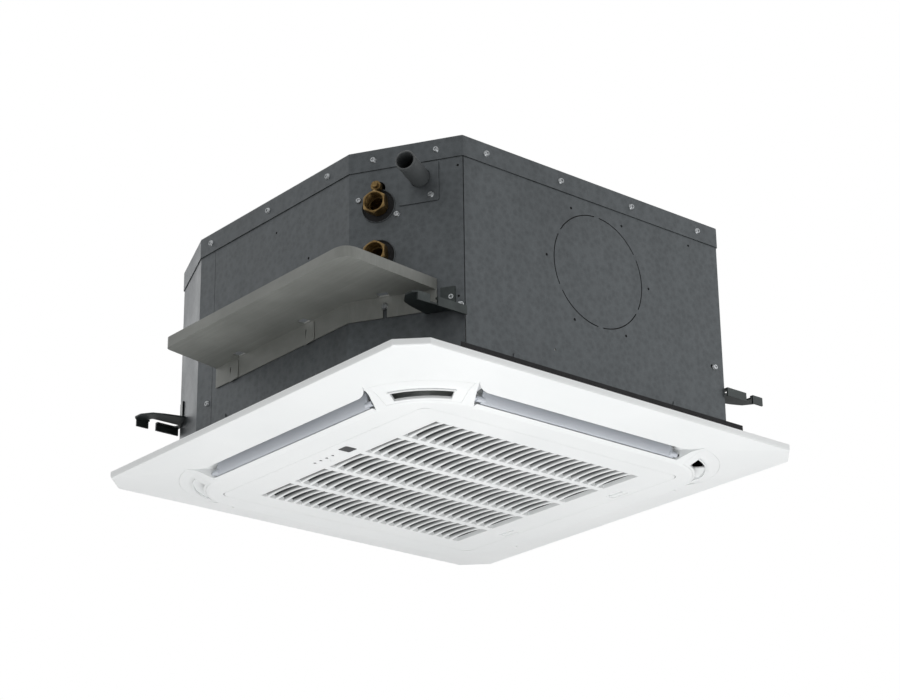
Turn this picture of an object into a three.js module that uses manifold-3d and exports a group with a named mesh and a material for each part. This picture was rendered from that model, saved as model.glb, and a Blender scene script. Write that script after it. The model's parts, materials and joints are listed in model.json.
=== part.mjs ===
// Compact four-way ceiling cassette air conditioner (chilled/hot water fan coil), in millimetres, +Z up.
// The origin is the middle of the unit in the ceiling plane: the rim of the fascia touches the ceiling at z = 0,
// the steel casing hangs above it in the ceiling void and the moulded fascia shows below it.
// +X and -Y are the two faces to the right of the pipe corner; the pipes leave through the -X/-Y corner.
import * as THREE from 'three';
import { mergeVertices } from 'three/addons/utils/BufferGeometryUtils.js';
import Module from 'manifold-3d';

// ---------------------------------------------------------------- driving dimensions

// Clearances
const GAP = 0.3;                 // between pieces that touch or are screwed together
const RUNNING_GAP = 0.35;        // radial, between a pin or shaft and its bearing
const OVERRUN = 1;               // how far a cutter runs past the face that it cuts

// Facets of round forms
const CORNER_STEPS = 5;          // a rounded corner of the fascia
const ARC_STEPS = 3;             // half the facets of any other arc
const FLARE_STEPS = 3;           // the flared end of an outlet
const FAN_SIDES = 20;            // round pieces of the fan
const DISC_SIDES = 14;           // other round pieces
const ROD_SIDES = 8;             // pins and small tubes
const CURVE_STEPS = 3;           // shroud and bell mouth
const PIPE_STEPS = 5;            // along a coil pipe
const HOSE_STEPS = 7;            // along the drain hose
const BEND_STEPS = 4;            // round a return bend
const HEXAGON = 6;
const ARCH_FACETS = 3;           // arched edge of a grille blade

// Steel casing
const BODY_HALF = 276;
const BODY_TOP = 301.2;
const SHEET = 1;
const SHEET_BOTTOM = 35;
const FLANGE_HEIGHT = 27.5;      // down-turned edge of the top cover
const CORNER_CUT_X = 43;         // plain corner facets
const CORNER_CUT_Y = 105;
const PIPE_CUT_X = 74;           // the larger pipe facet
const PIPE_CUT_Y = 126;
const SEAM_Y = BODY_HALF - 139;  // joint of two side sheets on the -X face
const REAR_SEAM_Y = 60;          // and on the +X face
const SEAM_GAP = 0.6;
const BEAD_DEPTH = 3;            // pressed stiffening bead in the top
const BEAD_WIDTH = 14;
const BEAD_RADIUS = 150;
const KNOCKOUT_X = 17;
const KNOCKOUT_Z = BODY_TOP - 120.5;
const KNOCKOUT_RADIUS = 75;
const KNOCKOUT_SLIT = 1.4;
const KNOCKOUT_BRIDGES = 6;
const KNOCKOUT_BRIDGE_ANGLE = 6; // degrees
const TAP_HOLE_RING = KNOCKOUT_RADIUS + 11.5;
const TAP_HOLE_RADIUS = 1.8;

// Insulation and seal
const FOAM = 8;
const SEAL = 8;                  // thickness of the seal round the foot of the casing
const SEAL_OUTER = BODY_HALF + SEAL;
const SEAL_CORNER = 30;

// Air outlets in the fascia
const OUTLET_INSET = 9;          // outer lip inside the face of the casing
const OUTLET_WIDTH = 24;
const OUTLET_OUTER = BODY_HALF - OUTLET_INSET;
const OUTLET_INNER = OUTLET_OUTER - OUTLET_WIDTH;
const RING_CORNER = 78;          // radius at which the inner edges of the outlets run round the corners
const RING_CENTRE = OUTLET_INNER - RING_CORNER;
const OUTLET_HALF = RING_CENTRE - 12;         // half length of the duct
const OUTLET_MOUTH_HALF = OUTLET_HALF + 10;   // half length at the inner edge of the mouth
const FLARE_HALF = OUTLET_MOUTH_HALF + 24;    // half distance between the flared tips of the mouth
const FLARE_OUT = OUTLET_OUTER + 17;          // from the middle to a flared tip
const FLARE_START = OUTLET_MOUTH_HALF - 6;    // where the outer lip begins to curve away
const FLARE_BEND = 14;           // control point of the flare from its tip
const FLARE_SHIFT = 0.8;         // spacing of the flare's points where it has become straight
const DUCT_WALL = 2.5;
const TAPER_DROP = 14;           // the mouth narrows to the duct above this depth

// Fascia
const FASCIA_SIZE = 650;         // square, over the rim
const FASCIA_CORNER = 31;        // leg of the cut corner of the rim
const RIM_HEIGHT = 8.3;          // vertical band of the rim
const FASCIA_DROP = 30;          // flat middle of the fascia below the ceiling
const LIP_DROP = FASCIA_DROP - 11.7;          // outer lip of the air outlets below the ceiling
const FASCIA_WALL = 3;           // moulded skin
const SLOPE_SHRINK = 1 / 3;      // share of the wall by which its slanting faces move inwards
const UPSTAND_HALF = BODY_HALF + 5;
const UPSTAND_WALL = 3;          // rib that carries the foam seal

// Corner covers, each with an arched air slot; radii about the corner centre
const COVER_INNER = RING_CORNER + 3;
const COVER_OUTER = COVER_INNER + 35;
const COVER_HALF_ANGLE = 33;     // degrees either side of the diagonal
const COVER_ANGLE_GAP = 0.2;     // degrees, joint at both ends of a cover
const COVER_WALL = 1.5;
const ARC_SLOT_INNER = COVER_INNER + 3;
const ARC_SLOT_OUTER = ARC_SLOT_INNER + 13;
const ARC_SLOT_HALF_ANGLE = 23.5;

// Louvres
const LOUVRE_OUT = OUTLET_INNER + 7;          // louvre axis from the middle
const LOUVRE_DROP = FASCIA_DROP - 9;          // louvre axis below the ceiling
const LOUVRE_ABOVE = 17;         // blade above its axis when it stands open
const LOUVRE_BELOW = 5.5;
const LOUVRE_WALL = 2.2;
const LOUVRE_CAMBER = 1.6;
const LOUVRE_FACETS = 3;
const LOUVRE_HALF_LOW = OUTLET_MOUTH_HALF - 4;    // half lengths at the lower and the upper edge
const LOUVRE_HALF_HIGH = OUTLET_HALF - 1;
const LOUVRE_BOSS = 3.6;         // radius of the boss round each pivot
const LOUVRE_BOSS_HALF = OUTLET_MOUTH_HALF + 1.3; // half length over the bosses
const PIVOT_RADIUS = 2;
const PIVOT_DEPTH = 6;           // length of a pivot inside the louvre or the fascia
const STEPPER_RADIUS = 8;
const STEPPER_LENGTH = 15;
const STEPPER_OFFSET = 9.5;      // its body above its shaft
const STEPPER_HALF = LOUVRE_BOSS_HALF + 10.2;     // from the middle of the outlet to the stepper's face
const LOUVRE_PIN_HALF = LOUVRE_BOSS_HALF + PIVOT_DEPTH - GAP;

// Intake grille
const DOOR_INSET = 33.2;         // edge of the grille inside the inner edges of the outlets
const DOOR_HALF = OUTLET_INNER - DOOR_INSET;
const DOOR_CORNER = 13.6;
const DOOR_WALL = 2.5;
const DOOR_GAP = 0.4;            // line round the door
const CORNER_RELIEF = 3;         // the opening's corners are this much tighter, for the door to swing
const DOOR_RIB_INSET = 8;        // stiffening rib inside the edge of the door
const DOOR_RIB_WALL = 2;
const DOOR_RIB_HEIGHT = 7.5;
const COLLAR_WALL = 2.8;         // fascia wall round the intake
const LEDGE_WIDTH = 6;
const LEDGE_HEIGHT = 2;
const LEDGE_RISE = 0.9;          // ledge above the door's skin
const LEDGE_START = 40;          // ledge from the hinge side
const HINGE_PIN_RADIUS = 1.1;
const HINGE_PIN_INSET = 6;       // hinge axis from the door's edge
const HINGE_PIN_RISE = 1.7;      // hinge axis above the door's face
const HINGE_PIN_HALF = DOOR_HALF + 0.6;       // half length over the hinge pins
const LATCH_SPACING = 216;
const LATCH_LENGTH = 28;         // of its opening in the door
const LATCH_OPENING = 14;        // width of that opening
const LATCH_EDGE = DOOR_HALF - 4.8;           // from the middle to the opening's outer end
const LATCH_TRAVEL = 6;
const LATCH_FLANGE = 2;          // body beyond the opening at each end
const LATCH_WALL = 2;
const LATCH_HEIGHT = 5;          // of the rails beside it
const TONGUE_OVERLAP = 4;

// Receiver window, indicator lamps and manual button on the hinge side of the grille
const PANEL_ROW_INSET = 20.8;    // their row from the door's edge
const PANEL_ROW_X = PANEL_ROW_INSET - DOOR_HALF;
const WINDOW_Y = -35;
const WINDOW_SIZE = 18;
const LENS_FLANGE = 1.5;         // width and thickness of the edge behind the skin
const LENS_STRIP = 3;            // half width of the strip that joins the lamps
const LENS_STRIP_END = 4;
const LAMP_FIRST_Y = -5;
const LAMP_PITCH = 12.4;
const LAMP_COUNT = 4;
const LAMP_RADIUS = 1.6;
const LAMP_Y = Array.from({ length: LAMP_COUNT }, (_, i) => LAMP_FIRST_Y + i * LAMP_PITCH);
const BUTTON_OFFSET = 10.4;      // button from the row, towards the slots
const BUTTON_X = PANEL_ROW_X + BUTTON_OFFSET;
const BUTTON_Y = 10;
const BUTTON_RADIUS = 2.5;
const BUTTON_FLANGE = 0.8;

// Slots of the grille, as many as fit between the row of lamps and the latches
const BLADE_DEPTH = 9;
const BLADE_LEAN = 6.5;          // how far a blade leans over its depth
const ARCH_RISE = 2;             // the blades' lower edges arch between the ribs
const FIELD_MARGIN = 1.4;        // solid border of the slotted field
const SLOT_PITCH = 14.09;
const SLOT_WIDTH = 10;
const SLOT_LENGTH = 64;
const SLOT_RIB = 9.6;            // between two rows
const FIELD_BORDER_Y = 30;       // plain door above and below the slots
const FIELD_BORDER_X = PANEL_ROW_INSET + BUTTON_OFFSET + BUTTON_RADIUS + BUTTON_FLANGE + GAP
  + BLADE_LEAN + FIELD_MARGIN;
const SLOT_COLUMNS = Math.floor((2 * (DOOR_HALF - FIELD_BORDER_X) - SLOT_WIDTH) / SLOT_PITCH) + 1;
const SLOT_ROWS = Math.floor((2 * (DOOR_HALF - FIELD_BORDER_Y) + SLOT_RIB) / (SLOT_LENGTH + SLOT_RIB));

// Pipe facet: positions along it from its -X end, and heights
const PIPE_S = 38;
const PIPE_HIGH_Z = BODY_TOP - 76.5;
const PIPE_LOW_Z = PIPE_HIGH_Z - 66;
const PIPE_HOLE = 22;
const VENT_Z = PIPE_HIGH_Z + 23.7;
const VENT_HOLE = 9;
const UNION_OUT = 16;            // union beyond the sheet
const UNION_NUT_RADIUS = 15.8;
const UNION_NUT_LENGTH = 12;
const UNION_NECK_RADIUS = 12.2;
const UNION_WALL = 0.8;          // of the neck round the bore
const UNION_BORE = UNION_NECK_RADIUS - UNION_WALL;
const UNION_BORE_DEPTH = 13;
const UNION_IN = 21;             // union behind the sheet
const PIPE_RADIUS = 8;
const PIPE_BEND = 26;            // reach of the curve at both ends of a coil pipe
const VENT_RADIUS = 4;
const VENT_CAP_RADIUS = 6.5;
const VENT_CAP_LENGTH = 8;
const VENT_CAP_OUT = 2;          // cap beyond the sheet
const VENT_OUT = 14;
const VENT_IN = 26;
const COCK_RADIUS = 4;
const COCK_LENGTH = 9;
const COCK_HEAD = 3;
const COCK_HEAD_RADIUS = 5.6;
const DRAIN_S = 92;
const DRAIN_Z = BODY_TOP - 47.8;
const DRAIN_RADIUS = 12.5;
const DRAIN_WALL = 2;
const DRAIN_OUT = 52;
const DRAIN_HOLE = 16;
const DRAIN_SOCKET_IN = 18;      // socket behind the sheet
const DRAIN_HOSE_RADIUS = 6.5;
const COVER_PLATE = 52;
const COVER_PLATE_S = DRAIN_S - 2;
const COVER_PLATE_Z = DRAIN_Z - 7.4;

// Hanging brackets
const HANGER_Z = 74.7;
const HANGER_SHEET = 2.2;
const HANGER_LIP_Y = BODY_HALF + 5;
const HANGER_LIP_HEIGHT = 9;
const HANGER_TIP_X = BODY_HALF + 27;
const HANGER_DEPTH = 38;
const HANGER_FLANGE = 30;
const HANGER_FLANGE_INSET = 9;   // behind the face of the casing
const HANGER_BEVEL = 5;          // cut corner at the tip
const HANGER_TIP_WIDTH = 18;     // straight edge at the tip, from the lip
const HANGER_HEEL_X = 10;        // slanting edge behind it
const HANGER_HEEL_Y = 6;
const HANGER_TOE = 24;           // from the tip to where the back edge begins
const HANGER_ROOT = 8;           // how far the back edge spreads at the casing
const HANGER_SLOT_WIDTH = 11;
const HANGER_SLOT_LENGTH = 44;
const HANGER_SLOT_EDGE = 5;      // slot from the lip
const HANGER_SLOT_INSET = 19;    // slot from the tip
const HANGER_GATE = 12;          // side entry of the bolt slot
const HANGER_HOOK = 4;           // entry from the slot's end
const PIPE_HANGER_SHIFT = 22;    // the bracket at the pipe corner sits nearer the middle

// Auxiliary drip tray under the pipe facet
const TRAY_FLOOR_Z = 104;
const TRAY_WALL = 2;
const TRAY_HEIGHT = 14;
const TRAY_OUT = 91;             // beyond the -X face
const TRAY_LEFT_Y = BODY_HALF - 150;
const TRAY_SKEW = 19;            // the left edge runs forward by this much
const TRAY_FRONT_Y = 14 - BODY_HALF;
const TRAY_CORNER = 20;
const TRAY_END = 34;             // its end on the pipe facet from the facet's far edge
const APRON_BOTTOM = HANGER_Z + HANGER_SHEET + 2 * GAP;
const APRON_WALL = 1.6;
const TAB_SLOT = 5;
const TAB_SLOT_HEIGHT = 19;
const TRAY_WINDOW = 14;
const TRAY_WINDOW_S = [105, 242];    // along the -X face, from its +Y end
const TRAY_SLOT_S = [79, 239];
const TRAY_TAB_S = 47;           // along the pipe facet

// Bell mouth in the fascia's collar
const BELL_BOTTOM = 20.8;
const BELL_PLATE = 2.9;
const BELL_WALL = 2.2;

// Drain pan with air ducts
const PAN_BOTTOM = BELL_BOTTOM + BELL_PLATE + GAP;
const PAN_TOP = 80;
const PAN_BANK = 30;             // pan between its hole and the coil
const TROUGH_DEPTH = 16;
const TROUGH_CLEARANCE = 3;

// Coil
const COIL_OUTER = BODY_HALF - 42;
const COIL_THICKNESS = 38;
const COIL_CORNER = 60;
const COIL_END = BODY_HALF - 158; // where the coil stops on both sides of the pipe corner
const TUBE_SHEET = 1.5;
const BEND_COUNT = 5;
const BEND_RADIUS = 4.8;
const BEND_SPAN = 22;
const BEND_REACH = 14.5;

// Fan, hung from the top
const MOTOR_RADIUS = 68;
const MOTOR_DROP = 25.2;         // motor below the top of the casing
const MOTOR_TOP = BODY_TOP - MOTOR_DROP;
const MOTOR_BOTTOM = MOTOR_TOP - 58;
const MOTOR_EAR_RING = MOTOR_RADIUS + 20;
const MOTOR_EAR_RADIUS = 14;
const MOTOR_EAR_HEIGHT = 4;
const MOTOR_STEP = 14;           // chamfered ends of the motor
const MOUNT_RADIUS = 10.5;
const MOUNT_CLEARANCE = 1;
const MOUNT_COUNT = 3;
const FAN_RADIUS = 150;
const FAN_EYE = 101;
const FAN_WALL = 2.5;
const FAN_TOP = MOTOR_BOTTOM - 10;
const FAN_HEIGHT = 104;          // outlet width of the wheel
const FAN_SHROUD_Z = FAN_TOP - FAN_HEIGHT;
const FAN_LIP_Z = FAN_SHROUD_Z - 20;
const SHROUD_REACH = 17;         // radius over which the shroud curves down to its lip
const HUB_RADIUS = 15;
const HUB_TOP = FAN_TOP - 30;
const HUB_BOTTOM = HUB_TOP - 38;
const DISH_SINK = 8;             // floor of the dish below the top of the hub
const DISH_RADIUS = 60;          // where the wall of the dish begins
const BLADE_COUNT = 7;
const BLADE_INNER = FAN_EYE - 4;
const BLADE_SETBACK = 1;         // from the rim of the wheel
const BLADE_SWEEP = 42;          // degrees between leading and trailing edge
const BLADE_THICKNESS = 5;
const BLADE_EDGE = 0.2;          // thickness at the edges, as a share of the middle
const BLADE_STEPS = 4;
const SHAFT_RADIUS = 5;
const SHAFT_BOTTOM = HUB_BOTTOM - 12;
const SHAFT_TOP = MOTOR_TOP - 18;
const NUT_RADIUS = 9;
const NUT_HEIGHT = 8;
const THROAT_RADIUS = FAN_EYE - 6;
const THROAT_TOP = FAN_LIP_Z + 7;
const MOUTH_RADIUS = THROAT_RADIUS + 35;

// Condensate pump and float switch
const PUMP_SETBACK = 75;         // pump axis behind the pipe facet
const PUMP_RADIUS = 28;
const PUMP_NECK_RADIUS = 15;
const PUMP_FOOT = 4;
const PUMP_BODY_Z = PAN_TOP + 48;
const PUMP_BODY_HEIGHT = 34;
const PUMP_MOTOR_RADIUS = 13;
const PUMP_TOP = PUMP_BODY_Z + 70;
const PUMP_INLET_OFFSET = 24;
const PUMP_INLET_RADIUS = 6;
const PUMP_INLET_GAP = 4;        // inlet above the bottom of the trough
const PUMP_HOSE_OFFSET = PUMP_MOTOR_RADIUS + 7;
const FLOAT_X = 21 - COIL_OUTER; // in the trough, beyond the end of the coil
const FLOAT_Y = -COIL_END - 34;
const FLOAT_RADIUS = 12;
const FLOAT_HEIGHT = 18;
const FLOAT_TRAVEL = 12;
const STEM_RADIUS = 4;
const STEM_CAP = 5;
const STEM_FOOT = 4;

// Control box in the intake
const BOX_INSET = 6.8;           // from the door's edge
const BOX_WIDTH = 64;
const BOX_LENGTH = 260;
const BOX_HEIGHT = 28;
const BOX_LID = 1.8;
const BOX_X0 = BOX_INSET - DOOR_HALF;
const BOX_TOP = BELL_BOTTOM - GAP;

// Air filter
const FILTER_HALF_X = DOOR_HALF - 21.8;
const FILTER_HALF_Y = DOOR_HALF - 19.8;
const FILTER_FRAME = 8;
const FILTER_HEIGHT = 4;
const FILTER_NET = 0.8;
const FILTER_BARS = 3;
const FILTER_BAR = 2.5;

// ---------------------------------------------------------------- solids

const wasm = await Module();
wasm.setup();

function toSolid(geometry) {
  const bare = geometry.clone();
  bare.deleteAttribute('normal');
  bare.deleteAttribute('uv');
  const merged = mergeVertices(bare, 1e-4);
  return new wasm.Manifold(new wasm.Mesh({
    numProp: 3,
    vertProperties: new Float32Array(merged.attributes.position.array),
    triVerts: new Uint32Array(merged.index.array),
  }));
}

function toGeometry(solid) {
  const mesh = solid.getMesh();
  const geometry = new THREE.BufferGeometry();
  geometry.setAttribute('position', new THREE.BufferAttribute(mesh.vertProperties, 3));
  geometry.setIndex(new THREE.BufferAttribute(mesh.triVerts, 1));
  geometry.computeVertexNormals();
  return geometry;
}

function joined(solids) {
  return solids.reduce((whole, piece) => whole.add(piece));
}

function box(x0, x1, y0, y1, z0, z1, matrix) {
  const geometry = new THREE.BoxGeometry(x1 - x0, y1 - y0, z1 - z0);
  geometry.translate((x0 + x1) / 2, (y0 + y1) / 2, (z0 + z1) / 2);
  return placed(geometry, matrix);
}

function placed(geometry, matrix) {
  if (matrix) geometry.applyMatrix4(matrix);
  return toSolid(geometry);
}

function outline(points) {
  return new THREE.Shape(points.map(([x, y]) => new THREE.Vector2(x, y)));
}

function prism(shape, z0, z1, matrix) {
  const settings = { depth: z1 - z0, bevelEnabled: false, curveSegments: ARC_STEPS };
  const geometry = new THREE.ExtrudeGeometry(shape, settings);
  geometry.translate(0, 0, z0);
  return placed(geometry, matrix);
}

// A cylinder on the local Z axis, or a hexagon when sides is 6.
function disc(x, y, radius, z0, z1, sides = DISC_SIDES, matrix) {
  const geometry = new THREE.CylinderGeometry(radius, radius, z1 - z0, sides);
  geometry.rotateX(Math.PI / 2);
  geometry.translate(x, y, (z0 + z1) / 2);
  return placed(geometry, matrix);
}

// A body of revolution about Z from a closed profile of [radius, height] points, anticlockwise.
function turned(profile, sides, matrix) {
  const points = profile.map(([radius, height]) => new THREE.Vector2(radius, height));
  const onAxis = profile[0][0] === 0 && profile[profile.length - 1][0] === 0;
  if (!onAxis) points.push(points[0].clone());
  const geometry = new THREE.LatheGeometry(points, sides);
  geometry.rotateX(Math.PI / 2);
  return placed(geometry, matrix);
}

function tube(curve, radius, steps, sides, matrix) {
  const section = new THREE.Shape();
  section.absarc(0, 0, radius, 0, 2 * Math.PI);
  const geometry = new THREE.ExtrudeGeometry(section, { extrudePath: curve, steps, curveSegments: sides / 2 });
  return placed(geometry, matrix);
}

// A closed skin over rings with equally many points, anticlockwise from above and rising.
function loft(rings, matrix) {
  const count = rings[0].length;
  const index = [];
  for (let level = 0; level < rings.length - 1; level++) {
    for (let i = 0; i < count; i++) {
      const a = level * count + i;
      const b = level * count + (i + 1) % count;
      index.push(a, b, b + count, a, b + count, a + count);
    }
  }
  const top = (rings.length - 1) * count;
  for (const [a, b, c] of THREE.ShapeUtils.triangulateShape(flat(rings[0]), [])) index.push(a, c, b);
  for (const [a, b, c] of THREE.ShapeUtils.triangulateShape(flat(rings.at(-1)), [])) {
    index.push(top + a, top + b, top + c);
  }
  const geometry = new THREE.BufferGeometry();
  const position = rings.flat().flatMap((point) => [point.x, point.y, point.z]);
  geometry.setAttribute('position', new THREE.Float32BufferAttribute(position, 3));
  geometry.setIndex(index);
  return placed(geometry, matrix);
}

function flat(ring) {
  return ring.map((point) => new THREE.Vector2(point.x, point.y));
}

// ---------------------------------------------------------------- outlines

// A square ring with round or straight-cut corners; both kinds have matching points.
function squareRing(half, corner, z, straight = false) {
  const ring = [];
  for (let quarter = 0; quarter < 4; quarter++) {
    for (let i = 0; i <= CORNER_STEPS; i++) {
      const share = i / CORNER_STEPS;
      const angle = share * Math.PI / 2;
      const x = half - corner + corner * (straight ? 1 - share : Math.cos(angle));
      const y = half - corner + corner * (straight ? share : Math.sin(angle));
      ring.push(new THREE.Vector3(x, y, z).applyAxisAngle(UP, quarter * Math.PI / 2));
    }
  }
  return ring;
}

// Rounds the corners of an anticlockwise outline that have a radius.
function rounded(points, radii) {
  const count = points.length;
  return points.flatMap((point, i) => {
    if (radii[i] === 0) return [point];
    const corner = new THREE.Vector2(...point);
    const back = new THREE.Vector2(...points[(i - 1 + count) % count]).sub(corner).normalize();
    const ahead = new THREE.Vector2(...points[(i + 1) % count]).sub(corner).normalize();
    const reach = radii[i] / Math.tan(Math.acos(back.dot(ahead)) / 2);
    const curve = new THREE.QuadraticBezierCurve(corner.clone().addScaledVector(back, reach), corner,
      corner.clone().addScaledVector(ahead, reach));
    return curve.getPoints(4).map((at) => [at.x, at.y]);
  });
}

function roundedRect(halfX, halfY, radius) {
  const shape = new THREE.Shape();
  shape.absarc(halfX - radius, halfY - radius, radius, 0, Math.PI / 2);
  shape.absarc(radius - halfX, halfY - radius, radius, Math.PI / 2, Math.PI);
  shape.absarc(radius - halfX, radius - halfY, radius, Math.PI, 1.5 * Math.PI);
  shape.absarc(halfX - radius, radius - halfY, radius, 1.5 * Math.PI, 2 * Math.PI);
  return shape;
}

function cutSquare(half, cut) {
  return [[half, cut - half], [half, half - cut], [half - cut, half], [cut - half, half],
    [-half, half - cut], [-half, cut - half], [cut - half, -half], [half - cut, -half]];
}

// Offsets an anticlockwise outline inwards; an open one keeps square ends.
function inset(points, distance, closed = true) {
  const count = points.length;
  return points.map((point, i) => {
    const before = points[(i - 1 + count) % count];
    const after = points[(i + 1) % count];
    const first = closed || i > 0 ? edgeNormal(before, point) : edgeNormal(point, after);
    const second = closed || i < count - 1 ? edgeNormal(point, after) : first;
    const scale = distance / (1 + first[0] * second[0] + first[1] * second[1]);
    return [point[0] - scale * (first[0] + second[0]), point[1] - scale * (first[1] + second[1])];
  });
}

function edgeNormal([x0, y0], [x1, y1]) {
  const length = Math.hypot(x1 - x0, y1 - y0);
  return [(y1 - y0) / length, (x0 - x1) / length];
}

const UP = new THREE.Vector3(0, 0, 1);

// The casing in plan, anticlockwise from the -X face; the first facet is the pipe facet.
const BODY = [
  [-BODY_HALF, BODY_HALF - CORNER_CUT_Y],
  [-BODY_HALF, PIPE_CUT_Y - BODY_HALF],
  [PIPE_CUT_X - BODY_HALF, -BODY_HALF],
  [BODY_HALF - CORNER_CUT_X, -BODY_HALF],
  [BODY_HALF, CORNER_CUT_Y - BODY_HALF],
  [BODY_HALF, BODY_HALF - CORNER_CUT_Y],
  [BODY_HALF - CORNER_CUT_X, BODY_HALF],
  [CORNER_CUT_X - BODY_HALF, BODY_HALF],
];

// Local axes of a casing wall: X along it, Y up and Z outwards from its outer face.
function wall(from, to) {
  const along = new THREE.Vector3(to[0] - from[0], to[1] - from[1], 0).normalize();
  const outward = along.clone().cross(UP);
  return new THREE.Matrix4().makeBasis(along, UP, outward).setPosition(from[0], from[1], 0);
}

const PIPE_FACET = Math.hypot(PIPE_CUT_X, PIPE_CUT_Y);
const LEFT_WALL = wall(BODY[0], BODY[1]);
const PIPE_WALL = wall(BODY[1], BODY[2]);
const RIGHT_WALL = wall([0, -BODY_HALF], BODY[3]);

// A shape drawn for the -Y side of the fascia, turned to each of the four sides.
const SIDES = [0, 1, 2, 3].map((quarter) => new THREE.Matrix4().makeRotationZ(quarter * Math.PI / 2));
const SIDE_NAMES = ['right', 'rear', 'far', 'left'];
const CORNER_NAMES = ['pipe', 'right', 'rear', 'left'];

// ---------------------------------------------------------------- materials

function finish(colour, roughness, metalness = 0) {
  return () => new THREE.MeshStandardMaterial({ color: colour, roughness, metalness });
}

const galvanised = finish(0x50565a, 0.45, 0.7);
const trayPaint = finish(0x55564c, 0.6, 0.2);
const bracketSteel = finish(0x2d3533, 0.5, 0.5);
const whiteMoulding = finish(0xf0f3f2, 0.4);
const louvreMoulding = finish(0xdfe3e6, 0.4);
const blackFoam = finish(0x17181a, 0.9);
const whiteFoam = finish(0xdedfdc, 0.9);
const darkLens = finish(0x23272a, 0.15);
const lampLens = finish(0x8d9694, 0.3);
const brass = finish(0x9a6a2e, 0.35, 0.9);
const copper = finish(0xa5623c, 0.35, 0.9);
const aluminiumFins = finish(0xb9bdbf, 0.4, 0.8);
const fanPlastic = finish(0x3a3d40, 0.5);
const motorPaint = finish(0x8f9498, 0.4, 0.6);
const steel = finish(0x9a9ea1, 0.35, 0.9);
const rubber = finish(0x1c1d1e, 0.8);
const greyPlastic = finish(0x6d7274, 0.5);
const filterPlastic = finish(0x34383b, 0.6);

const unit = new THREE.Group();

function piece(name, solid, material) {
  const mesh = new THREE.Mesh(toGeometry(solid), material());
  mesh.name = name;
  unit.add(mesh);
}

// ---------------------------------------------------------------- steel casing

// A folded side sheet that follows the given outer line.
function foldedSheet(line) {
  const inner = inset(line, SHEET, false);
  const top = BODY_TOP - SHEET - GAP;
  return prism(outline([...line, ...inner.reverse()]), SHEET_BOTTOM, top);
}

function knockoutCut() {
  const step = 2 * Math.PI / KNOCKOUT_BRIDGES;
  const bridge = THREE.MathUtils.degToRad(KNOCKOUT_BRIDGE_ANGLE);
  const cuts = [];
  for (let i = 0; i < KNOCKOUT_BRIDGES; i++) {
    const from = step * (i - 0.5) + bridge / 2;
    const slit = arcBand(KNOCKOUT_RADIUS - KNOCKOUT_SLIT, KNOCKOUT_RADIUS, from, from + step - bridge);
    const place = RIGHT_WALL.clone().multiply(new THREE.Matrix4().makeTranslation(KNOCKOUT_X, KNOCKOUT_Z, 0));
    cuts.push(prism(slit, -SHEET - OVERRUN, OVERRUN, place));
    const x = TAP_HOLE_RING * Math.cos(step * i);
    const y = TAP_HOLE_RING * Math.sin(step * i);
    cuts.push(disc(x, y, TAP_HOLE_RADIUS, -SHEET - OVERRUN, OVERRUN, ROD_SIDES, place));
  }
  return joined(cuts);
}

// A band of a ring between two angles.
function arcBand(inner, outer, from, to) {
  const shape = new THREE.Shape();
  shape.absarc(0, 0, outer, from, to);
  shape.absarc(0, 0, inner, to, from, true);
  return shape;
}

function rightSidePanel() {
  const start = [BODY[2][0] + SHEET + SEAM_GAP, -BODY_HALF];
  const end = [BODY_HALF, REAR_SEAM_Y - SEAM_GAP];
  return foldedSheet([start, BODY[3], BODY[4], end]).subtract(knockoutCut());
}

function rearSidePanel() {
  const start = [BODY_HALF, REAR_SEAM_Y];
  const end = [-BODY_HALF, SEAM_Y + SEAM_GAP];
  return foldedSheet([start, BODY[5], BODY[6], BODY[7], BODY[0], end]);
}

// Holes of the pipe facet, cut to a given depth behind it.
function pipeHoles(near, far) {
  return joined([
    disc(PIPE_S, PIPE_HIGH_Z, PIPE_HOLE, near, far, DISC_SIDES, PIPE_WALL),
    disc(PIPE_S, VENT_Z, VENT_HOLE, near, far, DISC_SIDES, PIPE_WALL),
    disc(PIPE_S, PIPE_LOW_Z, PIPE_HOLE, near, far, DISC_SIDES, PIPE_WALL),
    disc(DRAIN_S, DRAIN_Z, DRAIN_HOLE, near, far, DISC_SIDES, PIPE_WALL),
  ]);
}

function pipeSidePanel() {
  const start = [-BODY_HALF, SEAM_Y];
  return foldedSheet([start, BODY[1], BODY[2]]).subtract(pipeHoles(-SHEET - OVERRUN, OVERRUN));
}

// A ring with sides that slope at 45 degrees, from a depth below the top of the casing up to a height.
function beadRing(depth, half, top) {
  const low = BODY_TOP - depth;
  const wide = half + top - low;
  return turned([[BEAD_RADIUS - half, low], [BEAD_RADIUS + half, low], [BEAD_RADIUS + wide, top],
    [BEAD_RADIUS - wide, top]], FAN_SIDES);
}

// Flat cover with a down-turned edge and a pressed stiffening bead.
function topCover() {
  const outer = inset(BODY, -SHEET - GAP);
  const inner = inset(BODY, -GAP);
  const shell = prism(outline(outer), BODY_TOP - FLANGE_HEIGHT, BODY_TOP)
    .subtract(prism(outline(inner), BODY_TOP - FLANGE_HEIGHT - OVERRUN, BODY_TOP - SHEET));
  return shell.add(beadRing(BEAD_DEPTH + SHEET, BEAD_WIDTH / 2, BODY_TOP - SHEET / 2))
    .subtract(beadRing(BEAD_DEPTH, (BEAD_WIDTH - SHEET) / 2, BODY_TOP + OVERRUN));
}

function drainCoverPlate() {
  const half = COVER_PLATE / 2;
  const plate = box(COVER_PLATE_S - half, COVER_PLATE_S + half, COVER_PLATE_Z - half, COVER_PLATE_Z + half,
    GAP, GAP + SHEET, PIPE_WALL);
  const hole = disc(DRAIN_S, DRAIN_Z, DRAIN_RADIUS + GAP, -OVERRUN, SHEET + OVERRUN, DISC_SIDES,
    PIPE_WALL);
  return plate.subtract(hole);
}

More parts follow.
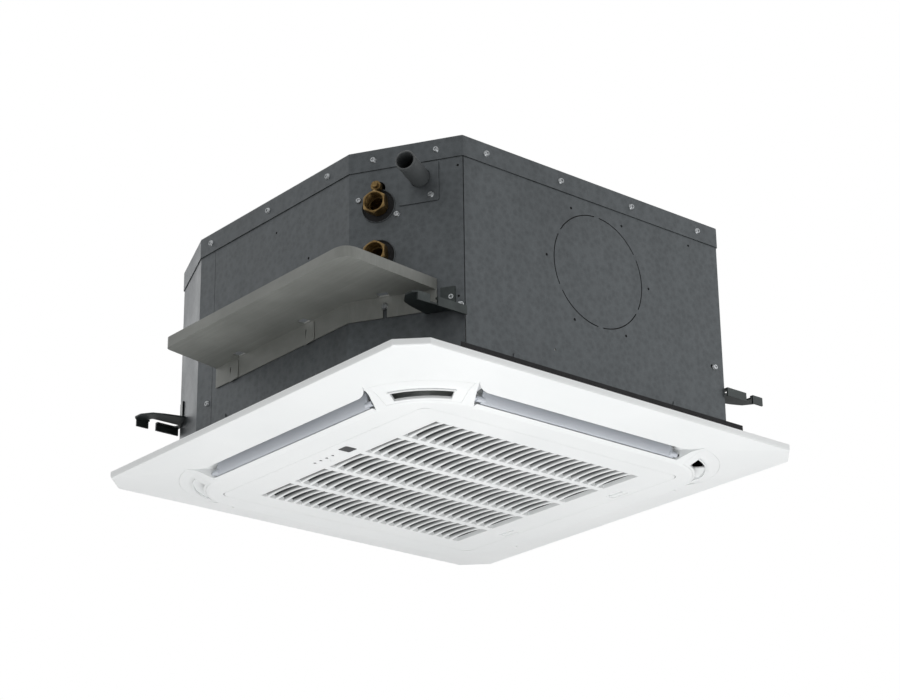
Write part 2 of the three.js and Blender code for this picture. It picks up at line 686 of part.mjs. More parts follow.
piece('top_cover', topCover(), galvanised);
piece('side_panel_right', rightSidePanel(), galvanised);
piece('side_panel_rear', rearSidePanel(), galvanised);
piece('side_panel_pipe', pipeSidePanel(), galvanised);
piece('drain_cover_plate', drainCoverPlate(), galvanised);

// Point of the pipe facet at a distance along it, moved outwards.
function facetPoint(s, out = 0) {
  const point = new THREE.Vector3(s, 0, out).applyMatrix4(PIPE_WALL);
  return [point.x, point.y];
}

// Hanging bracket: a shelf with a down-turned lip and a flange on the casing, drawn in the +X/+Y corner.
function hanger(signX, signY, cutX, cutY, shift) {
  const side = (y) => BODY_HALF - cutX + (BODY_HALF - y) * cutX / cutY + GAP * Math.hypot(1, cutX / cutY);
  const tip = HANGER_TIP_X - shift;
  const lip = HANGER_LIP_Y;
  const corner = (points) => outline(points.map(([x, y]) => [signX * x, signY * y]));
  const root = BODY_HALF - HANGER_FLANGE_INSET;
  const back = lip - HANGER_DEPTH;
  const spread = back - HANGER_ROOT;
  const shelf = corner([[side(BODY_HALF), lip], [tip - HANGER_BEVEL, lip], [tip, lip - HANGER_BEVEL],
    [tip, lip - HANGER_TIP_WIDTH], [tip - HANGER_HEEL_X, back + HANGER_HEEL_Y], [tip - HANGER_TOE, back],
    [side(spread), spread], [side(BODY_HALF), BODY_HALF]]);
  const edge = corner([[side(BODY_HALF), lip - HANGER_SHEET], [side(BODY_HALF), lip], [tip - HANGER_BEVEL, lip],
    [tip - HANGER_BEVEL, lip - HANGER_SHEET]]);
  const flangeLow = root - HANGER_FLANGE / 2;
  const flange = corner([[side(root), root], [side(root) + HANGER_SHEET, root],
    [side(flangeLow) + HANGER_SHEET, flangeLow], [side(flangeLow), flangeLow]]);
  const slotEnd = tip - HANGER_SLOT_INSET;
  const slotY = lip - HANGER_SLOT_EDGE;
  const slot = corner([[slotEnd - HANGER_SLOT_LENGTH, slotY - HANGER_SLOT_WIDTH],
    [slotEnd, slotY - HANGER_SLOT_WIDTH], [slotEnd, slotY], [slotEnd - HANGER_SLOT_LENGTH, slotY]]);
  const gateEnd = slotEnd - HANGER_HOOK;
  const gate = corner([[gateEnd, slotY - OVERRUN], [gateEnd, lip + OVERRUN],
    [gateEnd - HANGER_GATE, lip + OVERRUN], [gateEnd - HANGER_GATE, slotY - OVERRUN]]);
  const low = HANGER_Z - HANGER_LIP_HEIGHT;
  const high = HANGER_Z + HANGER_SHEET;
  return prism(shelf, HANGER_Z, high)
    .add(prism(edge, low, high))
    .add(prism(flange, HANGER_Z, HANGER_Z + HANGER_FLANGE))
    .subtract(prism(slot, low - OVERRUN, high + OVERRUN))
    .subtract(prism(gate, low - OVERRUN, high + OVERRUN));
}

piece('hanger_right', hanger(1, -1, CORNER_CUT_X, CORNER_CUT_Y, 0), bracketSteel);
piece('hanger_far', hanger(1, 1, CORNER_CUT_X, CORNER_CUT_Y, 0), bracketSteel);
piece('hanger_left', hanger(-1, 1, CORNER_CUT_X, CORNER_CUT_Y, 0), bracketSteel);
piece('hanger_pipe_corner', hanger(-1, -1, PIPE_CUT_X, PIPE_CUT_Y, PIPE_HANGER_SHIFT), bracketSteel);

// ---------------------------------------------------------------- insulation and seal

const FOAM_TOP = BODY_TOP - BEAD_DEPTH - SHEET - GAP;
const FOAM_UNDERSIDE = FOAM_TOP - FOAM;
const PAN_EDGE = SHEET + GAP;

function mountPoints() {
  return Array.from({ length: MOUNT_COUNT }, (_, i) => {
    const angle = Math.PI / 2 + i * 2 * Math.PI / MOUNT_COUNT;
    return [MOTOR_EAR_RING * Math.cos(angle), MOTOR_EAR_RING * Math.sin(angle)];
  });
}

function topInsulation() {
  const holes = mountPoints().map(([x, y]) => disc(x, y, MOUNT_RADIUS + MOUNT_CLEARANCE, FOAM_UNDERSIDE - OVERRUN,
    FOAM_TOP + OVERRUN));
  return prism(outline(inset(BODY, PAN_EDGE)), FOAM_UNDERSIDE, FOAM_TOP).subtract(joined(holes));
}

function sideInsulation() {
  const low = PAN_TOP + GAP;
  const high = FOAM_UNDERSIDE - GAP;
  return prism(outline(inset(BODY, PAN_EDGE)), low, high)
    .subtract(prism(outline(inset(BODY, PAN_EDGE + FOAM)), low - OVERRUN, high + OVERRUN))
    .subtract(pipeHoles(-PAN_EDGE - FOAM - 2 * OVERRUN, OVERRUN));
}

function foamSeal() {
  return prism(outline(cutSquare(SEAL_OUTER, SEAL_CORNER)), GAP, SHEET_BOTTOM - GAP)
    .subtract(prism(outline(inset(BODY, SHEET)), GAP - OVERRUN, SHEET_BOTTOM));
}

piece('top_insulation', topInsulation(), blackFoam);
piece('side_insulation', sideInsulation(), blackFoam);
piece('foam_seal', foamSeal(), blackFoam);

// ---------------------------------------------------------------- water connections

function onPipeWall(s, z) {
  return PIPE_WALL.clone().multiply(new THREE.Matrix4().makeTranslation(s, z, 0));
}

function waterUnion(z) {
  const place = onPipeWall(PIPE_S, z);
  const neck = disc(0, 0, UNION_NECK_RADIUS, -UNION_IN, UNION_OUT - UNION_NUT_LENGTH + OVERRUN, DISC_SIDES,
    place);
  const nut = disc(0, 0, UNION_NUT_RADIUS, UNION_OUT - UNION_NUT_LENGTH, UNION_OUT, HEXAGON, place);
  const socket = disc(0, 0, UNION_BORE, UNION_OUT - UNION_BORE_DEPTH, UNION_OUT + OVERRUN, DISC_SIDES, place);
  return neck.add(nut).subtract(socket);
}

// Foam collar in the hole of the liner round one union.
function pipeGrommet(z, cuts) {
  const place = onPipeWall(PIPE_S, z);
  const from = -PAN_EDGE - FOAM;
  const ring = disc(0, 0, PIPE_HOLE - GAP, from, -PAN_EDGE, DISC_SIDES, place)
    .subtract(disc(0, 0, UNION_NECK_RADIUS + GAP, from - OVERRUN, OVERRUN, DISC_SIDES, place));
  return cuts ? ring.subtract(cuts) : ring;
}

// Copper tube from a union to the header side of the coil.
function coilPipe(z) {
  const inward = new THREE.Vector3(0, 0, -1).transformDirection(PIPE_WALL);
  const [x, y] = facetPoint(PIPE_S, -UNION_IN - GAP);
  const start = new THREE.Vector3(x, y, z);
  const end = new THREE.Vector3(-COIL_OUTER + COIL_THICKNESS / 2, -COIL_END - TUBE_SHEET - 2 * GAP, z);
  const curve = new THREE.CubicBezierCurve3(start, start.clone().addScaledVector(inward, PIPE_BEND),
    end.clone().add(new THREE.Vector3(0, -PIPE_BEND, 0)), end);
  return tube(curve, PIPE_RADIUS, PIPE_STEPS, ROD_SIDES);
}

function airVent() {
  const place = onPipeWall(PIPE_S, VENT_Z);
  const capEnd = VENT_CAP_OUT + VENT_CAP_LENGTH;
  const tap = turned([[0, -VENT_IN], [VENT_RADIUS, -VENT_IN], [VENT_RADIUS, VENT_CAP_OUT],
    [VENT_CAP_RADIUS, VENT_CAP_OUT], [VENT_CAP_RADIUS, capEnd], [VENT_RADIUS, capEnd], [VENT_RADIUS, VENT_OUT],
    [0, VENT_OUT]], ROD_SIDES, place);
  const foot = PIPE_HIGH_Z + PIPE_RADIUS + GAP;
  const half = VENT_RADIUS / 2;
  return tap.add(box(PIPE_S - half, PIPE_S + half, foot, VENT_Z, -VENT_IN, 2 * half - VENT_IN, PIPE_WALL));
}

// Small drain screw on the flat of the lower union's nut.
function drainCock() {
  const flat = UNION_NUT_RADIUS * Math.cos(Math.PI / 6) + GAP;
  const place = onPipeWall(PIPE_S - flat, PIPE_LOW_Z)
    .multiply(new THREE.Matrix4().makeTranslation(0, 0, UNION_OUT - UNION_NUT_LENGTH / 2))
    .multiply(new THREE.Matrix4().makeRotationY(-Math.PI / 2));
  return disc(0, 0, COCK_RADIUS, 0, COCK_LENGTH, ROD_SIDES, place)
    .add(disc(0, 0, COCK_HEAD_RADIUS, COCK_LENGTH - COCK_HEAD, COCK_LENGTH, HEXAGON, place));
}

piece('water_union_upper', waterUnion(PIPE_HIGH_Z), brass);
piece('water_union_lower', waterUnion(PIPE_LOW_Z), brass);
const ventClearance = disc(PIPE_S, VENT_Z, VENT_RADIUS + GAP, -PAN_EDGE - FOAM - OVERRUN, OVERRUN, ROD_SIDES,
  PIPE_WALL);
piece('pipe_grommet_upper', pipeGrommet(PIPE_HIGH_Z, ventClearance), blackFoam);
piece('pipe_grommet_lower', pipeGrommet(PIPE_LOW_Z), blackFoam);
piece('coil_pipe_upper', coilPipe(PIPE_HIGH_Z), copper);
piece('coil_pipe_lower', coilPipe(PIPE_LOW_Z), copper);
piece('air_vent_valve', airVent(), brass);
piece('drain_cock', drainCock(), brass);

// ---------------------------------------------------------------- coil

const COIL_BOTTOM = PAN_TOP - TROUGH_DEPTH + GAP;
const COIL_TOP = FOAM_UNDERSIDE - GAP;

// Finned block bent round the fan, open at the pipe corner.
function coilBlock() {
  const inner = COIL_OUTER - COIL_THICKNESS;
  const centre = COIL_OUTER - COIL_CORNER;
  const tight = COIL_CORNER - COIL_THICKNESS;
  const shape = new THREE.Shape();
  shape.moveTo(-COIL_OUTER, -COIL_END);
  shape.absarc(-centre, centre, COIL_CORNER, Math.PI, Math.PI / 2, true);
  shape.absarc(centre, centre, COIL_CORNER, Math.PI / 2, 0, true);
  shape.absarc(centre, -centre, COIL_CORNER, 0, -Math.PI / 2, true);
  shape.lineTo(-COIL_END, -COIL_OUTER);
  shape.lineTo(-COIL_END, -inner);
  shape.absarc(centre, -centre, tight, -Math.PI / 2, 0);
  shape.absarc(centre, centre, tight, 0, Math.PI / 2);
  shape.absarc(-centre, centre, tight, Math.PI / 2, Math.PI);
  shape.lineTo(-inner, -COIL_END);
  return prism(shape, COIL_BOTTOM, COIL_TOP);
}

function headerTubeSheet() {
  const far = COIL_END + GAP + TUBE_SHEET;
  return box(-COIL_OUTER, COIL_THICKNESS - COIL_OUTER, -far, -COIL_END - GAP, COIL_BOTTOM, COIL_TOP);
}

// The other end plate carries the return bends.
function bendTubeSheet() {
  const face = -COIL_END - GAP - TUBE_SHEET;
  const y = COIL_THICKNESS / 2 - COIL_OUTER;
  const solids = [box(face, face + TUBE_SHEET, -COIL_OUTER, COIL_THICKNESS - COIL_OUTER, COIL_BOTTOM, COIL_TOP)];
  const pitch = (COIL_TOP - COIL_BOTTOM) / BEND_COUNT;
  for (let i = 0; i < BEND_COUNT; i++) {
    const z = COIL_BOTTOM + pitch * (i + 0.5);
    const reach = face - BEND_REACH;
    const curve = new THREE.CubicBezierCurve3(new THREE.Vector3(face + TUBE_SHEET / 2, y, z - BEND_SPAN / 2),
      new THREE.Vector3(reach, y, z - BEND_SPAN / 2), new THREE.Vector3(reach, y, z + BEND_SPAN / 2),
      new THREE.Vector3(face + TUBE_SHEET / 2, y, z + BEND_SPAN / 2));
    solids.push(tube(curve, BEND_RADIUS, BEND_STEPS, HEXAGON));
  }
  return joined(solids);
}

piece('heat_exchanger', coilBlock(), aluminiumFins);
piece('header_tube_sheet', headerTubeSheet(), steel);
piece('bend_tube_sheet', bendTubeSheet(), steel);

// ---------------------------------------------------------------- drainage

function drainPan() {
  const trough = COIL_OUTER + TROUGH_CLEARANCE;
  const inside = COIL_OUTER - COIL_THICKNESS;
  const bank = inside - TROUGH_CLEARANCE;
  const ring = prism(roundedRect(trough, trough, COIL_CORNER + TROUGH_CLEARANCE), PAN_TOP - TROUGH_DEPTH,
    PAN_TOP + OVERRUN)
    .subtract(prism(roundedRect(bank, bank, COIL_CORNER - COIL_THICKNESS), 0, PAN_TOP + 2 * OVERRUN));
  const ducts = SIDES.map((turn) => box(-OUTLET_HALF, OUTLET_HALF, -OUTLET_OUTER, -OUTLET_INNER, 0,
    PAN_TOP + OVERRUN, turn));
  return prism(outline(inset(BODY, PAN_EDGE)), PAN_BOTTOM, PAN_TOP)
    .subtract(disc(0, 0, inside - PAN_BANK, 0, PAN_TOP + OVERRUN, FAN_SIDES))
    .subtract(ring)
    .subtract(joined(ducts));
}

const [PUMP_X, PUMP_Y] = facetPoint(DRAIN_S, -PUMP_SETBACK);

function condensatePump() {
  const [x, y] = facetPoint(DRAIN_S, PUMP_INLET_OFFSET - PUMP_SETBACK);
  const foot = PAN_TOP + GAP;
  const inletTop = PUMP_BODY_Z - PUMP_INLET_RADIUS;
  return joined([
    disc(PUMP_X, PUMP_Y, PUMP_RADIUS, foot, foot + PUMP_FOOT),
    disc(PUMP_X, PUMP_Y, PUMP_NECK_RADIUS, foot, PUMP_BODY_Z + OVERRUN),
    disc(PUMP_X, PUMP_Y, PUMP_RADIUS, PUMP_BODY_Z, PUMP_BODY_Z + PUMP_BODY_HEIGHT),
    disc(PUMP_X, PUMP_Y, PUMP_MOTOR_RADIUS, PUMP_BODY_Z, PUMP_TOP),
    disc(x, y, PUMP_INLET_RADIUS, COIL_BOTTOM + PUMP_INLET_GAP, PUMP_BODY_Z + OVERRUN, ROD_SIDES),
    box(-PUMP_INLET_RADIUS, PUMP_INLET_RADIUS, inletTop - 2 * PUMP_INLET_RADIUS, inletTop, -PUMP_SETBACK,
      PUMP_INLET_OFFSET - PUMP_SETBACK, onPipeWall(DRAIN_S, 0)),
  ]);
}

// Hose from the pump to the socket that leaves through the cover plate.
function drainTube() {
  const hoseOut = PUMP_HOSE_OFFSET - PUMP_SETBACK;
  const start = PUMP_BODY_Z + PUMP_BODY_HEIGHT + GAP;
  const curve = new THREE.CubicBezierCurve3(
    new THREE.Vector3(0, start, hoseOut), new THREE.Vector3(0, DRAIN_Z, hoseOut),
    new THREE.Vector3(0, DRAIN_Z, hoseOut), new THREE.Vector3(0, DRAIN_Z, DRAIN_WALL / 2 - DRAIN_SOCKET_IN));
  const hose = tube(curve, DRAIN_HOSE_RADIUS, HOSE_STEPS, ROD_SIDES, onPipeWall(DRAIN_S, 0));
  const place = onPipeWall(DRAIN_S, DRAIN_Z);
  return disc(0, 0, DRAIN_RADIUS, -DRAIN_SOCKET_IN, DRAIN_OUT, DISC_SIDES, place)
    .subtract(disc(0, 0, DRAIN_RADIUS - DRAIN_WALL, DRAIN_WALL - DRAIN_SOCKET_IN, DRAIN_OUT + OVERRUN, DISC_SIDES,
      place))
    .add(hose);
}

const FLOAT_LOW = COIL_BOTTOM + STEM_FOOT + GAP;

function floatStem() {
  const cap = FLOAT_LOW + FLOAT_HEIGHT + FLOAT_TRAVEL + GAP;
  return joined([
    disc(FLOAT_X, FLOAT_Y, FLOAT_RADIUS - STEM_FOOT, COIL_BOTTOM, COIL_BOTTOM + STEM_FOOT, ROD_SIDES),
    disc(FLOAT_X, FLOAT_Y, STEM_RADIUS, COIL_BOTTOM, cap + STEM_CAP, ROD_SIDES),
    disc(FLOAT_X, FLOAT_Y, STEM_RADIUS + STEM_CAP / 2, cap, cap + STEM_CAP, ROD_SIDES),
  ]);
}

function pumpFloat() {
  const top = FLOAT_LOW + FLOAT_HEIGHT;
  return disc(FLOAT_X, FLOAT_Y, FLOAT_RADIUS, FLOAT_LOW, top)
    .subtract(disc(FLOAT_X, FLOAT_Y, STEM_RADIUS + RUNNING_GAP, FLOAT_LOW - OVERRUN, top + OVERRUN, ROD_SIDES));
}

// Auxiliary tray: floor, upturned rim on its free sides and an apron against the casing.
function dripTray() {
  const casing = [[-BODY_HALF, TRAY_LEFT_Y], BODY[1], facetPoint(PIPE_FACET - TRAY_END)];
  const back = inset(casing, -GAP, false);
  const [start, bend, end] = back;
  const outer = -BODY_HALF - TRAY_OUT;
  const edge = rounded([start, [outer, TRAY_LEFT_Y - TRAY_SKEW], [outer, TRAY_FRONT_Y], end, bend],
    [0, TRAY_CORNER / 2, TRAY_CORNER, 0, 0]);
  const floorTop = TRAY_FLOOR_Z + TRAY_WALL;
  const rim = TRAY_FLOOR_Z + TRAY_HEIGHT;
  const hollow = outline(inset(edge, TRAY_WALL));
  const past = new THREE.Matrix4().makeTranslation(2 * TRAY_WALL, 0, 0);
  const apron = outline([...back, ...inset(casing, -GAP - APRON_WALL, false).reverse()]);
  const faceSlots = TRAY_SLOT_S.map((s) => traySlot(LEFT_WALL, s));
  const faceWindows = TRAY_WINDOW_S.map((s) => trayWindow(LEFT_WALL, s));
  return prism(outline(edge), TRAY_FLOOR_Z, rim)
    .subtract(prism(hollow, floorTop, rim + OVERRUN))
    .subtract(prism(hollow, floorTop, rim + OVERRUN, past))
    .add(prism(apron, APRON_BOTTOM, floorTop))
    .subtract(joined([...faceSlots, ...faceWindows]))
    .subtract(traySlot(PIPE_WALL, TRAY_TAB_S))
    .subtract(trayWindow(PIPE_WALL, TRAY_TAB_S));
}

// Window in the floor where a tab is folded down.
function trayWindow(place, s) {
  const half = TRAY_WINDOW / 2;
  return box(s - half, s + half, TRAY_FLOOR_Z - OVERRUN, TRAY_FLOOR_Z + TRAY_WALL + OVERRUN,
    GAP + APRON_WALL + OVERRUN, TRAY_WINDOW, place);
}

// Slot in the apron for the tab's screw, open below.
function traySlot(place, s) {
  return box(s - TAB_SLOT / 2, s + TAB_SLOT / 2, APRON_BOTTOM - OVERRUN, APRON_BOTTOM + TAB_SLOT_HEIGHT, -OVERRUN,
    2 * APRON_WALL, place);
}

piece('drain_pan', drainPan(), whiteFoam);
piece('condensate_pump', condensatePump(), greyPlastic);
piece('drain_tube', drainTube(), greyPlastic);
piece('float_stem', floatStem(), greyPlastic);
piece('pump_float', pumpFloat(), whiteFoam);
piece('drip_tray', dripTray(), trayPaint);

// ---------------------------------------------------------------- fan

// A quarter of an ellipse from [r0, z0], where it runs level, to [r1, z1], where it stands upright.
function quarterCurve(r0, z0, r1, z1, steps) {
  const points = [];
  for (let i = 0; i <= steps; i++) {
    const angle = i / steps * Math.PI / 2;
    points.push([r0 + (r1 - r0) * Math.sin(angle), z1 - (z1 - z0) * Math.cos(angle)]);
  }
  return points;
}

function bladeOutline(turn) {
  const sides = [1, -1].map((side) => {
    const points = [];
    for (let i = 0; i <= BLADE_STEPS; i++) {
      const share = i / BLADE_STEPS;
      const radius = BLADE_INNER + (FAN_RADIUS - BLADE_SETBACK - BLADE_INNER) * share;
      const angle = turn - THREE.MathUtils.degToRad(BLADE_SWEEP) * share;
      const thickness = BLADE_THICKNESS * (BLADE_EDGE + (1 - BLADE_EDGE) * Math.sin(Math.PI * share));
      const half = side * thickness / 2 / radius;
      points.push([radius * Math.cos(angle + half), radius * Math.sin(angle + half)]);
    }
    return points;
  });
  return outline([...sides[0], ...sides[1].reverse()]);
}

// Ring over the blades' lower edges, with a lip that curves down round the eye.
function impellerShroud() {
  const inner = quarterCurve(FAN_EYE + SHROUD_REACH, FAN_SHROUD_Z, FAN_EYE, FAN_LIP_Z, CURVE_STEPS);
  const outer = inner.map(([radius, z], i) => {
    const angle = i / CURVE_STEPS * Math.PI / 2;
    return [radius + FAN_WALL * Math.sin(angle), z - FAN_WALL * Math.cos(angle)];
  });
  return turned([...outer.reverse(), [FAN_RADIUS, FAN_SHROUD_Z - FAN_WALL], [FAN_RADIUS, FAN_SHROUD_Z], ...inner],
    FAN_SIDES);
}

// Dished plate with a hub and backward-curved blades that stand on the shroud.
function impeller() {
  const floor = HUB_TOP - DISH_SINK;
  const plate = turned([[SHAFT_RADIUS + GAP, HUB_BOTTOM], [HUB_RADIUS, HUB_BOTTOM], [HUB_RADIUS, floor - FAN_WALL],
    [DISH_RADIUS, HUB_TOP], [BLADE_INNER, FAN_TOP - FAN_WALL], [FAN_RADIUS, FAN_TOP - FAN_WALL],
    [FAN_RADIUS, FAN_TOP], [BLADE_INNER - FAN_WALL, FAN_TOP], [DISH_RADIUS - FAN_WALL, HUB_TOP + FAN_WALL],
    [HUB_RADIUS, floor], [HUB_RADIUS, HUB_TOP], [SHAFT_RADIUS + GAP, HUB_TOP]], FAN_SIDES);
  const blades = [];
  for (let i = 0; i < BLADE_COUNT; i++) {
    const shape = bladeOutline(i * 2 * Math.PI / BLADE_COUNT);
    blades.push(prism(shape, FAN_SHROUD_Z + GAP, FAN_TOP - FAN_WALL / 2));
  }
  return joined([plate, ...blades]);
}

function fanMotor() {
  const step = MOTOR_STEP;
  const body = turned([[SHAFT_RADIUS + RUNNING_GAP, MOTOR_BOTTOM], [MOTOR_RADIUS - step, MOTOR_BOTTOM],
    [MOTOR_RADIUS, MOTOR_BOTTOM + step], [MOTOR_RADIUS, MOTOR_TOP - step], [MOTOR_RADIUS - step, MOTOR_TOP],
    [0, MOTOR_TOP], [0, SHAFT_TOP + GAP], [SHAFT_RADIUS + RUNNING_GAP, SHAFT_TOP + GAP]], FAN_SIDES);
  const ears = mountPoints().map(([x, y]) => {
    const turn = new THREE.Matrix4().makeRotationZ(Math.atan2(y, x));
    return disc(x, y, MOTOR_EAR_RADIUS, MOTOR_TOP - MOTOR_EAR_HEIGHT, MOTOR_TOP)
      .add(box(0, MOTOR_EAR_RING, -MOTOR_EAR_RADIUS, MOTOR_EAR_RADIUS, MOTOR_TOP - MOTOR_EAR_HEIGHT, MOTOR_TOP,
        turn));
  });
  return joined([body, ...ears]);
}

// Bell mouth: flat plate over the intake collar with a round throat that reaches into the fan's eye.
function bellMouth() {
  const inner = quarterCurve(MOUTH_RADIUS, BELL_BOTTOM, THROAT_RADIUS, THROAT_TOP, CURVE_STEPS);
  const outer = inner.map(([radius, z], i) => {
    const angle = i / CURVE_STEPS * Math.PI / 2;
    return [radius + BELL_WALL * Math.sin(angle), z + BELL_PLATE * Math.cos(angle)];
  });
  return prism(roundedRect(COLLAR_HALF, COLLAR_HALF, DOOR_CORNER), BELL_BOTTOM, BELL_BOTTOM + BELL_PLATE)
    .subtract(disc(0, 0, MOUTH_RADIUS + OVERRUN, BELL_BOTTOM - OVERRUN, BELL_BOTTOM + 2 * BELL_PLATE, FAN_SIDES))
    .add(turned([[MOUTH_RADIUS + 2 * OVERRUN, BELL_BOTTOM + GAP],
      [MOUTH_RADIUS + 2 * OVERRUN, BELL_BOTTOM + BELL_PLATE - GAP], ...outer, ...inner.reverse()], FAN_SIDES));
}

function controlBox() {
  return box(BOX_X0, BOX_X0 + BOX_WIDTH, -BOX_LENGTH / 2, BOX_LENGTH / 2, BOX_TOP - BOX_HEIGHT, BOX_TOP);
}

function controlBoxCover() {
  const top = BOX_TOP - BOX_HEIGHT - GAP;
  return box(BOX_X0, BOX_X0 + BOX_WIDTH, -BOX_LENGTH / 2, BOX_LENGTH / 2, top - BOX_LID, top);
}

const OPENING_HALF = DOOR_HALF + DOOR_GAP;
const OPENING_CORNER = DOOR_CORNER - CORNER_RELIEF;
const COLLAR_HALF = OPENING_HALF + COLLAR_WALL;
const NUT_TOP = HUB_BOTTOM - GAP;
const MOUNT_TOP = BODY_TOP - SHEET - GAP;

piece('fan_motor', fanMotor(), motorPaint);
mountPoints().forEach(([x, y], i) => {
  piece(`motor_mount_${i + 1}`, disc(x, y, MOUNT_RADIUS, MOTOR_TOP + GAP, MOUNT_TOP), rubber);
});
piece('motor_shaft', disc(0, 0, SHAFT_RADIUS, SHAFT_BOTTOM, SHAFT_TOP), steel);
piece('impeller', impeller(), fanPlastic);
piece('impeller_shroud', impellerShroud(), fanPlastic);
piece('hub_nut', disc(0, 0, NUT_RADIUS, NUT_TOP - NUT_HEIGHT, NUT_TOP, HEXAGON)
  .subtract(disc(0, 0, SHAFT_RADIUS + GAP, NUT_TOP - NUT_HEIGHT - OVERRUN, NUT_TOP + OVERRUN)), steel);
piece('bellmouth', bellMouth(), greyPlastic);
piece('control_box', controlBox(), galvanised);
piece('control_box_cover', controlBoxCover(), galvanised);

// ---------------------------------------------------------------- fascia

// The fascia's outer form, lifted and carried straight up to a height.
function fasciaForm(lift, shrink, top) {
  const inner = OUTLET_INNER - shrink * SLOPE_SHRINK;
  const outer = OUTLET_OUTER - shrink * SLOPE_SHRINK;
  const rings = [
    squareRing(inner, inner - RING_CENTRE, lift - FASCIA_DROP),
    squareRing(outer, outer - RING_CENTRE, lift - LIP_DROP),
    squareRing(FASCIA_SIZE / 2 - shrink, FASCIA_CORNER, lift - RIM_HEIGHT, true),
    squareRing(FASCIA_SIZE / 2 - shrink, FASCIA_CORNER, top, true),
  ];
  return loft(rings);
}

// The mouth of one outlet in plan: straight inner edge, outer lip that curves away to two flared tips.
function mouthRing(z, grown) {
  const tip = new THREE.Vector2(FLARE_HALF + grown, FLARE_OUT + grown);
  const bend = new THREE.Vector2(FLARE_HALF - FLARE_BEND, OUTLET_OUTER + grown);
  const start = new THREE.Vector2(FLARE_START, OUTLET_OUTER + grown);
  const flare = new THREE.QuadraticBezierCurve(tip, bend, start).getPoints(FLARE_STEPS);
  const right = flare.map((point) => [point.x, -point.y]);
  const left = flare.map((point) => [-point.x, -point.y]);
  const inner = OUTLET_MOUTH_HALF + grown;
  const edge = grown - OUTLET_INNER;
  return [[-inner, edge], ...left, ...right.reverse(), [inner, edge]]
    .map(([x, y]) => new THREE.Vector3(x, y, z));
}

function ductRing(z, grown) {
  const half = OUTLET_HALF + grown;
  const out = -OUTLET_OUTER - grown;
  const ring = [[-half, grown - OUTLET_INNER]];
  for (let i = 0; i <= FLARE_STEPS; i++) ring.push([i * FLARE_SHIFT - half, out]);
  for (let i = FLARE_STEPS; i >= 0; i--) ring.push([half - i * FLARE_SHIFT, out]);
  ring.push([half, grown - OUTLET_INNER]);
  return ring.map(([x, y]) => new THREE.Vector3(x, y, z));
}

function duct(grown, bottom, top, turn) {
  return loft([mouthRing(bottom, grown), mouthRing(-TAPER_DROP, grown), ductRing(0, grown), ductRing(top, grown)],
    turn);
}

function cornerPlace(quarter) {
  return new THREE.Matrix4().makeRotationZ(quarter * Math.PI / 2)
    .multiply(new THREE.Matrix4().makeTranslation(-RING_CENTRE, -RING_CENTRE, 0));
}

// A sector about the diagonal of a corner, drawn for the -X/-Y corner.
function cornerSector(inner, outer, halfAngle, quarter) {
  const middle = 1.25 * Math.PI;
  const half = THREE.MathUtils.degToRad(halfAngle);
  return prism(arcBand(inner, outer, middle - half, middle + half), -FASCIA_DROP - OVERRUN, 0,
    cornerPlace(quarter));
}

function arcSlot(quarter, growth = 0) {
  return cornerSector(ARC_SLOT_INNER - growth, ARC_SLOT_OUTER + growth, ARC_SLOT_HALF_ANGLE, quarter);
}

// A layer of the fascia's skin between two depths below its face.
function skinLayer(from, to) {
  return fasciaForm(from, 0, from).subtract(fasciaForm(to, 0, to + OVERRUN));
}

function fasciaFrame() {
  const form = fasciaForm(0, 0, PAN_BOTTOM - 2 * GAP);
  const low = -FASCIA_DROP - OVERRUN;
  const collar = prism(roundedRect(COLLAR_HALF, COLLAR_HALF, OPENING_CORNER + COLLAR_WALL), -FASCIA_DROP,
    BELL_BOTTOM - GAP);
  const upstand = prism(outline(cutSquare(UPSTAND_HALF, SEAL_CORNER)), -LIP_DROP, 0)
    .subtract(prism(outline(cutSquare(UPSTAND_HALF - UPSTAND_WALL, SEAL_CORNER)), low, OVERRUN))
    .intersect(form);
  const ducts = SIDES.map((turn) => duct(DUCT_WALL, low, PAN_BOTTOM - 2 * GAP, turn).intersect(form));
  const skin = fasciaForm(0, 0, 0).subtract(fasciaForm(FASCIA_WALL, FASCIA_WALL, OVERRUN));
  const bores = SIDES.map((turn) => pivotRod(PIVOT_RADIUS + RUNNING_GAP, -LOUVRE_PIN_HALF - OVERRUN,
    STEPPER_HALF + 2 * PIVOT_RADIUS, turn));
  const recess = skinLayer(-OVERRUN, COVER_WALL + GAP);
  const corners = [0, 1, 2, 3].map((quarter) => cornerSector(COVER_INNER, COVER_OUTER, COVER_HALF_ANGLE, quarter)
    .intersect(recess).add(arcSlot(quarter, GAP)));
  return joined([skin, collar, upstand, ...ducts])
    .subtract(joined(SIDES.map((turn) => duct(0, low, PAN_BOTTOM, turn))))
    .subtract(prism(roundedRect(OPENING_HALF, OPENING_HALF, OPENING_CORNER), low, PAN_BOTTOM))
    .add(ledge())
    .subtract(joined([...bores, ...corners, hingeRod(HINGE_PIN_RADIUS + RUNNING_GAP, HINGE_PIN_HALF + GAP)]));
}

// Shelf inside the collar that the latches hook over; the hinge side has none.
function ledge() {
  const low = DOOR_WALL + LEDGE_RISE - FASCIA_DROP;
  const outer = OPENING_HALF + COLLAR_WALL / 2;
  const inner = OPENING_HALF - LEDGE_WIDTH;
  return prism(roundedRect(outer, outer, DOOR_CORNER), low, low + LEDGE_HEIGHT)
    .subtract(prism(roundedRect(inner, inner, DOOR_CORNER - LEDGE_WIDTH), low - OVERRUN, low + 2 * LEDGE_HEIGHT))
    .subtract(box(-COLLAR_HALF, LEDGE_START - OPENING_HALF, -COLLAR_HALF, COLLAR_HALF, low - OVERRUN,
      low + 2 * LEDGE_HEIGHT));
}

